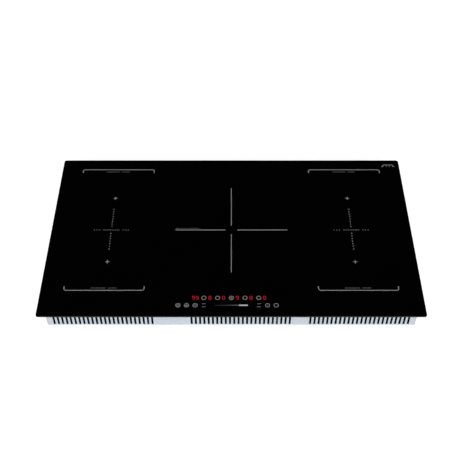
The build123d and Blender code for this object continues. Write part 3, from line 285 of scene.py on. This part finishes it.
# ---- node helpers --------------------------------------------------------------------
class Shader:
    """A material's nodes, written one call at a time."""

    def __init__(self, name):
        self.material = bpy.data.materials.new(name)
        self.material.use_nodes = True
        self.tree = self.material.node_tree
        self.bsdf = self.tree.nodes["Principled BSDF"]
        self.place = self.node("ShaderNodeTexCoord").outputs["Object"]

    def node(self, kind, inputs=None, **settings):
        made = self.tree.nodes.new(kind)
        for key, value in settings.items():
            setattr(made, key, value)
        for key, value in (inputs or {}).items():
            if isinstance(value, bpy.types.NodeSocket):
                self.tree.links.new(value, made.inputs[key])
            else:
                made.inputs[key].default_value = value
        return made

    def set(self, **values):
        """Constant values on the shader's own sockets."""
        for key, value in values.items():
            self.bsdf.inputs[key.replace("_", " ")].default_value = value

    def link(self, output, socket):
        """Joins an output to one of the shader's own sockets."""
        self.tree.links.new(output, self.bsdf.inputs[socket])

    def parts(self, vector):
        """The X, Y and Z of a vector."""
        return self.node("ShaderNodeSeparateXYZ", {"Vector": vector}).outputs

    def combine(self, operation, first, second=0.0):
        """One step of arithmetic. The second value is left out for ABSOLUTE."""
        return self.node("ShaderNodeMath", {0: first, 1: second}, operation=operation).outputs[0]

    def noise(self, scale, detail=4.0, rough=0.55, stretch=(1, 1, 1)):
        place = self.node("ShaderNodeMapping", {"Vector": self.place, "Scale": stretch})
        made = self.node("ShaderNodeTexNoise", {
            "Vector": place.outputs[0], "Scale": scale, "Detail": detail, "Roughness": rough,
        })
        return made.outputs["Fac"]

    def cells(self, scale, feature="F1", output="Distance", stretch=(1, 1, 1)):
        place = self.node("ShaderNodeMapping", {"Vector": self.place, "Scale": stretch})
        made = self.node(
            "ShaderNodeTexVoronoi", {"Vector": place.outputs[0], "Scale": scale}, feature=feature
        )
        return made.outputs[output]

    def ramp(self, value, stops):
        """Colours along a value from 0 to 1, as (place, colour) stops."""
        made = self.node("ShaderNodeValToRGB", {"Fac": value})
        elements = made.color_ramp.elements
        while len(elements) < len(stops):
            elements.new(0.5)
        for element, (place, colour) in zip(elements, stops):
            element.position = place
            element.color = (*colour, 1.0)
        return made.outputs["Color"]

    def span(self, value, low, high, from_low=0.0, from_high=1.0):
        """Maps a value between two limits onto another range, and holds it there."""
        made = self.node("ShaderNodeMapRange", {
            "Value": value, "From Min": from_low, "From Max": from_high,
            "To Min": low, "To Max": high,
        })
        return made.outputs["Result"]

    def bump(self, height, strength, distance, under=None):
        """Adds relief, on top of another bump's normal if that is given."""
        inputs = {"Height": height, "Strength": strength, "Distance": distance}
        if under is not None:
            inputs["Normal"] = under
        return self.node("ShaderNodeBump", inputs).outputs["Normal"]


def shade(colour, factor):
    """The colour made darker or lighter."""
    return tuple(c * factor for c in colour)


# ---- materials -----------------------------------------------------------------------
GLASS_BLACK = (0.0003, 0.0003, 0.00035)
GLASS_CLOUD = (0.0007, 0.0007, 0.0008)
ZINC = (0.45, 0.495, 0.545)
ZINC_DARK = (0.41, 0.455, 0.505)
ZINC_LIGHT = (0.50, 0.545, 0.595)
CRYSTALS_PER_METRE = 240.0
CRYSTAL_STRETCH = (1.0, 1.25, 1.0)
PAN_SHEET = 0.8 * MM
# painted shade: near black over the pan's inner faces, standing in for the shade inside the pan;
# its depth and facing limits follow
INSIDE_PAINTED_SHADE = (0.003, 0.003, 0.003, 1.0)
PAINTED_SHADE_DEPTHS = (0.5 * PAN_SHEET, 0.7 * PAN_SHEET)  # inwards from the pan's outer faces
PAINTED_SHADE_FACINGS = (-0.2, -0.1)  # it fades out between these, as the normal turns down
BOARD_GREEN = (0.004, 0.022, 0.012)
TRACK_GREEN = (0.012, 0.055, 0.03)
STRAND_TONES = ((0.30, 0.10, 0.035), (0.58, 0.24, 0.09), (0.80, 0.42, 0.20))
MICA_TONES = ((0.42, 0.37, 0.28), (0.62, 0.57, 0.46), (0.76, 0.72, 0.62))
SLIDER_TONES = ((0.03, 0.03, 0.03), (0.09, 0.09, 0.09), (0.16, 0.16, 0.16))


def black_glass():
    """Polished black glass ceramic: deep, with a faint cloud of wiping marks."""
    s = Shader("black_glass_ceramic")
    cloud = s.noise(9.0, 6.0, 0.6)
    s.link(s.ramp(cloud, [(0.3, GLASS_BLACK), (0.7, GLASS_CLOUD)]), "Base Color")
    wipe = s.noise(26.0, 5.0, 0.65, (1.0, 0.35, 1.0))
    s.link(s.span(wipe, 0.045, 0.10), "Roughness")
    ripple = s.bump(s.noise(55.0, 2.0), 0.04, 0.02 * MM)
    s.link(ripple, "Normal")
    s.set(IOR=1.54, Specular_IOR_Level=0.15)
    return s.material


def galvanised_look(s):
    """Zinc crystals of slightly different tone over a rolled grain: colour, roughness, normal."""
    crystals = s.cells(CRYSTALS_PER_METRE, output="Color", stretch=CRYSTAL_STRETCH)
    tone = s.node("ShaderNodeSeparateColor", {"Color": crystals}).outputs["Red"]
    mixed = s.combine("ADD", tone, s.noise(14.0, 5.0))
    base = s.ramp(s.span(mixed, 0.0, 1.0, 0.3, 1.6), [
        (0.0, ZINC_DARK), (0.55, ZINC), (1.0, ZINC_LIGHT),
    ])
    rolled = s.noise(340.0, 3.0, 0.6, (0.05, 1.0, 1.0))
    grain = s.bump(rolled, 0.12, 0.05 * MM)
    edges = s.cells(CRYSTALS_PER_METRE, feature="DISTANCE_TO_EDGE", stretch=CRYSTAL_STRETCH)
    return base, s.span(tone, 0.30, 0.5), s.bump(edges, 0.12, 0.1 * MM, grain)


def galvanised_steel():
    """Bare galvanised sheet, for the folded frame under the glass."""
    s = Shader("galvanised_sheet")
    base, rough, normal = galvanised_look(s)
    s.link(base, "Base Color")
    s.link(rough, "Roughness")
    s.link(normal, "Normal")
    s.set(Metallic=0.85)
    return s.material


def pan_steel():
    """The same sheet for the pan, with painted shade on its inner faces: they are made near
    black, for the shade inside the pan behind its slots.
    """
    s = Shader("galvanised_pan")
    base, rough, normal = galvanised_look(s)
    low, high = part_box("base_pan")
    place = s.parts(s.place)
    # how far inside the outer faces a point lies
    side_depth = s.combine("SUBTRACT", high.x, s.combine("ABSOLUTE", place["X"]))
    end_depth = s.combine("SUBTRACT", high.y, s.combine("ABSOLUTE", place["Y"]))
    floor_depth = s.combine("SUBTRACT", place["Z"], low.z)
    depth = s.combine("MINIMUM", s.combine("MINIMUM", side_depth, end_depth), floor_depth)
    inner = s.span(depth, 0.0, 1.0, *PAINTED_SHADE_DEPTHS)
    facing = s.parts(s.node("ShaderNodeNewGeometry").outputs["Normal"])
    not_below = s.span(facing["Z"], 0.0, 1.0, *PAINTED_SHADE_FACINGS)
    # painted shade: inner faces that do not face down are made near black and matt, standing in
    # for the shade inside the pan
    painted_shade = s.combine("MULTIPLY", inner, not_below)
    mixed = s.node("ShaderNodeMixRGB", {"Fac": painted_shade, "Color1": base, "Color2": INSIDE_PAINTED_SHADE})
    s.link(mixed.outputs[0], "Base Color")
    s.link(s.combine("MAXIMUM", rough, painted_shade), "Roughness")
    s.link(normal, "Normal")
    s.set(Metallic=0.55)
    return s.material


def cast(name, colour, metallic=0.0, rough=(0.4, 0.55), scale=120.0, relief=0.15,
         depth=0.06 * MM, spread=0.12, stretch=(1, 1, 1)):
    """A surface with a fine grain, a slow change of tone and uneven gloss."""
    s = Shader(name)
    slow = s.noise(18.0, 4.0)
    s.link(s.ramp(slow, [
        (0.3, shade(colour, 1 - spread)), (0.5, colour), (0.72, shade(colour, 1 + spread)),
    ]), "Base Color")
    grain = s.noise(scale, 5.0, 0.6, stretch)
    s.link(s.span(grain, rough[0], rough[1]), "Roughness")
    s.link(s.bump(grain, relief, depth), "Normal")
    s.set(Metallic=metallic)
    return s


def seal_foam():
    """Matt black foam with fine pores."""
    s = cast("seal_foam", (0.035, 0.035, 0.036), rough=(0.8, 0.95), scale=500.0)
    pores = s.cells(900.0)
    s.link(s.bump(pores, 0.5, 0.15 * MM), "Normal")
    return s.material


def circuit_board():
    """Green mask over tracks in a brick pattern, with small smoother spots all over."""
    s = Shader("circuit_board")
    tracks = s.node("ShaderNodeTexBrick", {
        "Vector": s.place, "Scale": 60.0, "Mortar Size": 0.018, "Mortar Smooth": 0.1,
        "Color1": (0.0, 0.0, 0.0, 1.0), "Color2": (0.25, 0.25, 0.25, 1.0),
        "Mortar": (1.0, 1.0, 1.0, 1.0),
    })
    green = s.ramp(tracks.outputs["Fac"], [(0.0, BOARD_GREEN), (1.0, TRACK_GREEN)])
    s.link(green, "Base Color")
    pads = s.cells(160.0)
    on_pad = s.span(pads, 1.0, 0.0, 0.10, 0.16)
    s.link(s.span(on_pad, 0.32, 0.18), "Roughness")
    s.link(s.bump(tracks.outputs["Fac"], 0.3, 0.04 * MM), "Normal")
    return s.material


def copper_wire():
    """Enamelled strands as slanting bands, which break up the light along each turn."""
    s = Shader("copper_litz_wire")
    strands = s.node("ShaderNodeTexWave", {
        "Vector": s.place, "Scale": 210.0, "Distortion": 6.0, "Detail": 3.0, "Detail Scale": 2.0,
    }, wave_type="BANDS", bands_direction="DIAGONAL")
    copper = s.ramp(strands.outputs["Fac"], list(zip((0.0, 0.5, 1.0), STRAND_TONES)))
    s.link(copper, "Base Color")
    s.link(s.span(strands.outputs["Fac"], 0.42, 0.24), "Roughness")
    s.link(s.bump(strands.outputs["Fac"], 0.5, 0.2 * MM), "Normal")
    s.set(Metallic=0.9)
    return s.material


def mica():
    """Pressed flakes of mica, each of its own tone and gloss."""
    s = Shader("pressed_mica")
    flakes = s.cells(420.0, output="Color")
    tone = s.node("ShaderNodeSeparateColor", {"Color": flakes}).outputs["Green"]
    s.link(s.ramp(tone, list(zip((0.0, 0.6, 1.0), MICA_TONES))), "Base Color")
    s.link(s.span(tone, 0.25, 0.6), "Roughness")
    s.link(s.bump(tone, 0.2, 0.05 * MM), "Normal")
    return s.material


def print_enamel(name, colour):
    """Fired ceramic ink: matt, slightly grainy, thinner in places."""
    s = Shader(name)
    grain = s.noise(700.0, 4.0, 0.7)
    s.link(s.ramp(grain, [(0.25, shade(colour, 0.8)), (0.75, shade(colour, 1.12))]), "Base Color")
    s.link(s.span(grain, 0.45, 0.65), "Roughness")
    s.link(s.bump(grain, 0.2, 0.01 * MM), "Normal")
    return s.material


def lit(name, colour, strength):
    """A light behind the glass, a little uneven over its area."""
    s = Shader(name)
    patch = s.noise(260.0, 2.0)
    glow = s.ramp(patch, [(0.3, shade(colour, PATCH_DIP)), (0.7, colour)])
    s.link(glow, "Emission Color")
    s.set(Emission_Strength=strength)
    dim, bright = (shade(colour, share) for share in UNLIT_SHARES)
    s.link(s.ramp(patch, [(0.3, dim), (0.7, bright)]), "Base Color")
    s.link(s.span(patch, 0.2, 0.35), "Roughness")
    return s.material


def slider_glow():
    """The slider's track, brighter towards its right end."""
    s = Shader("slider_track")
    share = s.span(s.parts(s.place)["X"], 0.0, 1.0, -SLIDER_HALF_LENGTH, SLIDER_HALF_LENGTH)
    s.link(s.ramp(share, list(zip((0.0, 0.45, 0.74), SLIDER_TONES))), "Base Color")
    s.link(s.span(s.noise(600.0), 0.45, 0.6), "Roughness")
    return s.material


SPECIAL_FINISHES = {
    "black_glass": black_glass,
    "galvanised_steel": galvanised_steel,
    "seal_foam": seal_foam,
    "circuit_board": circuit_board,
    "copper_wire": copper_wire,
    "mica": mica,
}

# the settings of cast() for the other slots that CAD nodes have
GRAINED_FINISHES = {
    "silicone": dict(name="silicone_bead", colour=(0.09, 0.09, 0.095), rough=(0.35, 0.5)),
    "screw_steel": dict(
        name="zinc_plated_steel", colour=(0.60, 0.61, 0.60), metallic=1.0, rough=(0.22, 0.4),
        scale=700.0, relief=0.1, depth=0.02 * MM,
    ),
    "tray_aluminium": dict(
        name="mill_aluminium", colour=(0.72, 0.73, 0.74), metallic=1.0, rough=(0.3, 0.48),
        scale=260.0, relief=0.12, depth=0.03 * MM, spread=0.06, stretch=(0.06, 1, 1),
    ),
    "heatsink_aluminium": dict(
        name="extruded_aluminium", colour=(0.66, 0.67, 0.68), metallic=1.0, rough=(0.34, 0.5),
        scale=320.0, relief=0.15, depth=0.04 * MM, spread=0.05, stretch=(1, 0.04, 1),
    ),
    "motor_metal": dict(
        name="laminated_steel", colour=(0.36, 0.36, 0.38), metallic=1.0, rough=(0.35, 0.5),
        scale=500.0, relief=0.3, depth=0.05 * MM, spread=0.1, stretch=(0.1, 0.1, 1.5),
    ),
    "former_plastic": dict(
        name="glass_filled_plastic", colour=(0.05, 0.05, 0.052), rough=(0.45, 0.65),
        scale=380.0, relief=0.3,
    ),
    "blower_plastic": dict(
        name="blower_plastic", colour=(0.035, 0.035, 0.037), rough=(0.38, 0.52),
        scale=300.0, relief=0.2,
    ),
    "ferrite": dict(
        name="sintered_ferrite", colour=(0.07, 0.07, 0.075), metallic=0.25, rough=(0.5, 0.72),
        scale=420.0, relief=0.4,
    ),
    "sensor_ceramic": dict(
        name="sensor_ceramic", colour=(0.82, 0.81, 0.77), rough=(0.25, 0.4), scale=260.0,
    ),
    "chip_plastic": dict(
        name="moulded_chip_package", colour=(0.028, 0.028, 0.03), rough=(0.5, 0.65),
        scale=600.0, relief=0.3,
    ),
    "capacitor_plastic": dict(
        name="capacitor_box", colour=(0.62, 0.43, 0.06), rough=(0.18, 0.3), scale=180.0,
        spread=0.06,
    ),
    "choke_core": dict(
        name="lacquered_core", colour=(0.10, 0.24, 0.12), rough=(0.2, 0.35), scale=240.0,
    ),
    "standoff_plastic": dict(
        name="black_nylon", colour=(0.02, 0.02, 0.02), rough=(0.4, 0.55), scale=220.0,
        spread=0.05,
    ),
    "contact_rubber": dict(
        name="conductive_foam", colour=(0.06, 0.06, 0.06), rough=(0.75, 0.9), scale=900.0,
        relief=0.5,
    ),
    "display_plastic": dict(
        name="tinted_display", colour=(0.05, 0.008, 0.008), rough=(0.1, 0.2), scale=200.0,
    ),
    "terminal_plastic": dict(
        name="terminal_plastic", colour=(0.47, 0.48, 0.49), rough=(0.42, 0.58), scale=420.0,
        relief=0.25, spread=0.05,
    ),
    "gland_plastic": dict(
        name="gland_nylon", colour=(0.03, 0.03, 0.032), rough=(0.36, 0.5), scale=380.0,
        relief=0.25,
    ),
    "lead_sheath": dict(
        name="lead_sheath", colour=(0.30, 0.05, 0.04), rough=(0.35, 0.5), scale=160.0,
    ),
}


def finish_of(slot):
    """The material for a slot that CAD nodes have."""
    if slot in SPECIAL_FINISHES:
        return SPECIAL_FINISHES[slot]()
    return cast(**GRAINED_FINISHES[slot]).material


def dress_nodes():
    """Gives each CAD node the finish of its slot in the record, and the pan its own."""
    made = {}
    for entry in frame["record"]["subparts"]:
        slot = entry["material_slot"]
        if slot not in made:
            made[slot] = finish_of(slot)
        node = frame["nodes"][entry["node"]]
        node.data.materials.clear()
        node.data.materials.append(pan_steel() if entry["node"] == "base_pan" else made[slot])


# ---- copies of the springs -----------------------------------------------------------
def springs_under_trays():
    """Puts a copy in the place of each tray's springs, on the casing, and hides the CAD springs.
    """
    for tray in ("left", "centre", "right"):
        node = f"tray_springs_{tray}"
        piece = bpy.data.objects.new(f"pressed_springs_{tray}", frame["nodes"][node].data.copy())
        bpy.context.scene.collection.objects.link(piece)
        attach(piece, "casing")
        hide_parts(node)
        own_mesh(piece)


# ---- printed marks: what is on the glass ---------------------------------------------
def bracket_lines():
    """(y, end) of each bracket's line, with end 1 at the rear and -1 at the front."""
    return ((GLASS_HIGH.y - BRACKET_REAR_INSET, 1), (GLASS_LOW.y + BRACKET_FRONT_INSET, -1))


def print_brackets(ink):
    """A long bracket with round corners at the front and rear end of each side zone."""
    marks = Print("print_brackets")
    half = BRACKET_HALF_LENGTH - LINE / 2
    bend = BRACKET_CORNER
    straight = half - bend
    quarter_from = {(1, 1): 0, (-1, 1): 90, (-1, -1): 180, (1, -1): 270}
    for zone in SIDE_ZONES.values():
        for y, end in bracket_lines():
            marks.bar(zone.x - straight, zone.x + straight, y - LINE / 2, y + LINE / 2)
            low, high = sorted((y - end * bend, y - end * BRACKET_TICK))
            for side in (-1, 1):
                start = quarter_from[(side, end)]
                bend_x = zone.x + side * straight
                marks.arc(bend_x, y - end * bend, bend, LINE, start, start + 90, steps=8)
                x = zone.x + side * half
                marks.bar(x - LINE / 2, x + LINE / 2, low, high)
    marks.make(ink)


def print_cross(ink):
    """Four arms round the middle of the large zone."""
    marks = Print("print_cross")
    centre = Vector((CENTRE_ZONE.x, CENTRE_ZONE.y + MARKS_SHIFT))
    arms = ((1, 0, CROSS_SIDE_ARM, CROSS_SIDE_LINE), (0, 1, CROSS_REAR_ARM, CROSS_LONG_LINE),
            (-1, 0, CROSS_SIDE_ARM, CROSS_SIDE_LINE), (0, -1, CROSS_FRONT_ARM, CROSS_LONG_LINE))
    for x, y, reach, width in arms:
        direction = Vector((x, y))
        marks.line(centre + direction * CROSS_GAP, centre + direction * reach, width)
    marks.make(ink)


def print_zone_marks(ink):
    """The stars over each side coil's middle and the dotted line between them."""
    marks = Print("print_zone_marks")
    for zone in SIDE_ZONES.values():
        for end in (-1, 1):
            reach = HALF_COIL_PITCH + STAR_SPREAD
            marks.star(zone.x, zone.y + STAR_SHIFT + end * reach, STAR_RADIUS)
            y = zone.y + MARKS_SHIFT
            for i in range(DOTS):
                marks.disc(zone.x, y + end * (DOT_FIRST + i * DOT_PITCH), DOT_RADIUS)
        length, width = END_DASH
        y = zone.y + MARKS_SHIFT + DOT_FIRST + DOTS * DOT_PITCH
        marks.line((zone.x - length / 2, y), (zone.x + length / 2, y), width)
    marks.make(ink)


def tick_row(marks, x, y, ends, tick):
    """A row of short upright ticks, centred on y, between two distances from x."""
    height, width, pitch = tick
    low, high = ends
    for i in range(int((high - low) / pitch)):
        place = x + low + (i + 0.5) * pitch
        marks.line((place, y - height / 2), (place, y + height / 2), width)


def print_scales(ink):
    """Plain tick scales: beside the brackets, on the cross and across each side zone."""
    marks = Print("print_scales")
    for zone in SIDE_ZONES.values():
        for y, end in bracket_lines():
            for ends in BRACKET_SCALES:
                tick_row(marks, zone.x, y - end * BRACKET_SCALE_OFFSETS[end], ends, FINE_TICK)
        y = zone.y + MARKS_SHIFT
        tick_row(marks, zone.x, y, ZONE_SCALE, ZONE_TICK)
        for ends in ZONE_END_SCALES:
            tick_row(marks, zone.x, y, ends, ZONE_END_TICK)
    tag = (-CROSS_SIDE_ARM, -CROSS_SIDE_ARM + TAG_LENGTH)
    tick_row(marks, CENTRE_ZONE.x, CENTRE_ZONE.y + MARKS_SHIFT + TAG_OFFSET, tag, TAG_TICK)
    marks.make(ink)


def print_emblem(ink):
    """A generic coil symbol at the rear right: a lead, three loops side by side, a lead."""
    marks = Print("print_emblem")
    x = GLASS_HIGH.x - EMBLEM_SIDE_INSET
    y = GLASS_HIGH.y - EMBLEM_REAR_INSET
    half = EMBLEM_LOOPS * EMBLEM_LOOP_RADIUS
    for i in range(EMBLEM_LOOPS):
        middle_x = x - half + (2 * i + 1) * EMBLEM_LOOP_RADIUS
        marks.arc(middle_x, y, EMBLEM_LOOP_RADIUS, EMBLEM_LINE, 0, 180, steps=20)
    for i in range(EMBLEM_LOOPS + 1):
        leg_x = x - half + 2 * i * EMBLEM_LOOP_RADIUS
        marks.line((leg_x, y), (leg_x, y - EMBLEM_LEG), EMBLEM_LINE)
    for side in (-1, 1):
        ends = sorted((x + side * (half + EMBLEM_LINE / 2), x + side * (half + EMBLEM_LEAD)))
        marks.line((ends[0], y - EMBLEM_LEG), (ends[1], y - EMBLEM_LEG), EMBLEM_LINE)
    marks.make(ink)


def zone_key_places():
    """Where the keys of the five zones stand, from left to right."""
    return [CENTRE_ZONE.x + (i - (ZONE_KEYS - 1) / 2) * ZONE_KEY_PITCH for i in range(ZONE_KEYS)]


def crosshair(marks, x, y, reach):
    """The middle zone's own mark, inside its key."""
    marks.line((x - reach, y), (x + reach, y), SYMBOL_LINE)
    marks.line((x, y - reach), (x, y + reach), SYMBOL_LINE)


def switch_symbol(marks, x, y):
    """An open ring with a bar through the gap."""
    marks.arc(x, y, SYMBOL_REACH, SYMBOL_LINE, *SWITCH_ARC, steps=24)
    marks.line((x, y), (x, y + SYMBOL_REACH + SYMBOL_LINE), SYMBOL_LINE)


def lock_symbol(marks, x, y):
    """A closed padlock."""
    body_y = y - SYMBOL_REACH / 2
    marks.line((x - SYMBOL_REACH, body_y), (x + SYMBOL_REACH, body_y), SYMBOL_REACH)
    marks.arc(x, y, SYMBOL_INSET, SYMBOL_LINE, 0, 180, steps=14)


def pause_symbol(marks, x, y):
    """Two upright bars."""
    for side in (-1, 1):
        bar_x = x + side * SYMBOL_INSET
        marks.line((bar_x, y - SYMBOL_REACH), (bar_x, y + SYMBOL_REACH), SYMBOL_LINE)


def timer_symbol(marks, x, y):
    """A clock's two hands."""
    marks.line((x, y), (x, y + SYMBOL_REACH), SYMBOL_LINE)
    marks.line((x, y), (x + SYMBOL_REACH, y), SYMBOL_LINE)


def print_keys(ink):
    """Rings round the touch keys, some with a plain symbol, and the slider's end dashes."""
    marks = Print("print_keys")
    ring = KEY_RADIUS - KEY_LINE / 2
    y = KEY_ROW_Y
    zone_y = DISPLAY_ROW_Y + ZONE_KEY_SHIFT
    for x in zone_key_places():
        marks.arc(x, zone_y, ring, KEY_LINE)
    left = [KEY_ROW_START + i * KEY_PITCH for i in range(3)]
    right = [KEY_ROW_END - i * KEY_PITCH for i in range(2)]
    for x in left + right:
        marks.arc(x, y, ring, KEY_LINE)
    crosshair(marks, CENTRE_ZONE.x, zone_y, ring)
    switch_symbol(marks, left[0], y)
    lock_symbol(marks, left[1], y)
    pause_symbol(marks, left[2], y)
    timer_symbol(marks, right[1], y)
    # less and more, at the two ends of the slider
    length, width = STEP_DASH
    for x in (-STEP_KEY_X, STEP_KEY_X):
        for dash_y in (y - STEP_DASH_OFFSET, y + STEP_DASH_OFFSET):
            marks.line((x - length / 2, dash_y), (x + length / 2, dash_y), width)
    marks.make(ink)


def print_slider(track, bright):
    """The slider: a dim track that swells to the right, and its lit end."""
    marks = Print("print_slider_track")
    start, turn, y = -SLIDER_HALF_LENGTH, SLIDER_TURN, KEY_ROW_Y
    marks.outline([
        (start, y - SLIDER_START_HEIGHT / 2), (turn, y - SLIDER_TURN_HEIGHT / 2),
        (turn, y + SLIDER_TURN_HEIGHT / 2), (start, y + SLIDER_START_HEIGHT / 2),
    ])
    marks.make(track)
    end = Print("print_slider_end")
    end.line((turn, y), (SLIDER_HALF_LENGTH, y), SLIDER_END_HEIGHT)
    end.make(bright)


SEGMENTS_OF = {"0": "abcdef", "8": "abcdefg", "9": "abcdfg"}


def digit(marks, x, y, figure):
    """One seven-segment figure as separate bars with pointed ends."""
    half_w, half_h = (DIGIT_WIDTH - DIGIT_LINE) / 2, (DIGIT_HEIGHT - DIGIT_LINE) / 2
    ends = {
        "a": ((-1, 1), (1, 1)), "b": ((1, 1), (1, 0)), "c": ((1, 0), (1, -1)),
        "d": ((1, -1), (-1, -1)), "e": ((-1, -1), (-1, 0)), "f": ((-1, 0), (-1, 1)),
        "g": ((-1, 0), (1, 0)),
    }
    for segment in SEGMENTS_OF[figure]:
        (ax, ay), (bx, by) = ends[segment]
        a = Vector((x + ax * half_w, y + ay * half_h))
        b = Vector((x + bx * half_w, y + by * half_h))
        run = (b - a).normalized()
        side = Vector((-run.y, run.x)) * DIGIT_LINE / 2
        tip = run * DIGIT_LINE / 2
        a, b = a + run * SEGMENT_GAP, b - run * SEGMENT_GAP
        marks.outline([tuple(p) for p in (
            a, a + tip - side, b - tip - side, b, b - tip + side, a + tip + side)])


def print_digits(red):
    """The lit figures: one beside each zone's key, and the timer's two."""
    marks = Print("display_digits")
    y = DISPLAY_ROW_Y + DIGIT_SHIFT
    for x, figure in zip(zone_key_places(), ZONE_FIGURES):
        digit(marks, x + DIGIT_OFFSET, y, figure)
    for side in (-1, 1):
        digit(marks, CENTRE_ZONE.x + TIMER_X + side * TIMER_PITCH / 2, y, TIMER_FIGURE)
    marks.make(red)


# ---- light, floor and camera ---------------------------------------------------------
def stage_floor():
    """A wide pale floor under the pan, clear from below so that the underside can be seen."""
    half, z = FLOOR_HALF_WIDTH, FLOOR_Z - FLOOR_GAP
    mesh = bpy.data.meshes.new("floor")
    corners = [(-half, -half), (half, -half), (half, half), (-half, half)]
    mesh.from_pydata([(x, y, z) for x, y in corners], [], [(0, 1, 2, 3)])
    floor = bpy.data.objects.new("floor", mesh)
    bpy.context.scene.collection.objects.link(floor)
    s = Shader("pale_floor")
    s.link(s.ramp(s.noise(1.2), list(zip((0.3, 0.7), FLOOR_TONES))), "Base Color")
    s.set(Roughness=0.9, Emission_Color=(1.0, 1.0, 1.0, 1.0), Emission_Strength=FLOOR_GLOW)
    under = s.node("ShaderNodeNewGeometry").outputs["Backfacing"]
    clear = s.node("ShaderNodeBsdfTransparent").outputs[0]
    sides = s.node("ShaderNodeMixShader", {0: under, 1: s.bsdf.outputs[0], 2: clear})
    s.tree.links.new(sides.outputs[0], s.tree.nodes["Material Output"].inputs["Surface"])
    mesh.materials.append(s.material)


def studio():
    """A dark room with a broad soft light in front and a bright band along the horizon."""
    world = bpy.data.worlds.new("studio")
    world.use_nodes = True
    nodes, links = world.node_tree.nodes, world.node_tree.links
    direction = nodes.new("ShaderNodeTexCoord").outputs["Generated"]

    def fade(value, start, end, low, high):
        """Goes smoothly from low to high as the value goes from start to end."""
        made = nodes.new("ShaderNodeMapRange")
        made.interpolation_type = "SMOOTHSTEP"
        links.new(value, made.inputs["Value"])
        made.inputs["From Min"].default_value = start
        made.inputs["From Max"].default_value = end
        made.inputs["To Min"].default_value = low
        made.inputs["To Max"].default_value = high
        return made.outputs["Result"]

    height = nodes.new("ShaderNodeSeparateXYZ")
    links.new(direction, height.inputs[0])
    horizon = fade(height.outputs["Z"], *HORIZON_FADE, HORIZON_LIGHT, DARK_SKY)
    towards = nodes.new("ShaderNodeVectorMath")
    towards.operation = "DOT_PRODUCT"
    links.new(direction, towards.inputs[0])
    towards.inputs[1].default_value = (
        0.0, -math.cos(FRONT_LIGHT_ELEVATION), math.sin(FRONT_LIGHT_ELEVATION)
    )
    front = fade(towards.outputs["Value"], *FRONT_LIGHT_FADE, 0.0, FRONT_LIGHT)
    total = nodes.new("ShaderNodeMath")
    total.operation = "ADD"
    links.new(horizon, total.inputs[0])
    links.new(front, total.inputs[1])
    links.new(total.outputs[0], nodes["Background"].inputs["Strength"])
    nodes["Background"].inputs["Color"].default_value = (1.0, 1.0, 1.0, 1.0)
    bpy.context.scene.world = world
    view = bpy.context.scene.view_settings
    view.view_transform = "Standard"
    view.look = "None"


def camera():
    """Stands in front of the glass's middle and looks down at it."""
    data = bpy.data.cameras.new("camera")
    data.sensor_width = SENSOR
    data.lens = LENS
    data.shift_x = SHIFT_X
    data.clip_end = CAMERA_REACH
    holder = bpy.data.objects.new("camera", data)
    bpy.context.scene.collection.objects.link(holder)
    holder.location = (0.0, -CAMERA_FRONT, GLASS_TOP + CAMERA_HEIGHT)
    holder.rotation_euler = (math.pi / 2 - CAMERA_PITCH, 0.0, 0.0)
    bpy.context.scene.camera = holder


# ---- the scene -----------------------------------------------------------------------
dress_nodes()
springs_under_trays()
ink = print_enamel("print_ink", PRINT_INK)
print_brackets(ink)
print_cross(ink)
print_zone_marks(ink)
print_scales(print_enamel("print_ink_fine", FINE_INK))
print_emblem(ink)
print_keys(ink)
print_slider(slider_glow(), lit("slider_light", SLIDER_WHITE, SLIDER_STRENGTH))
print_digits(lit("digit_red", DIGIT_RED, DIGIT_STRENGTH))
stage_floor()
studio()
camera()
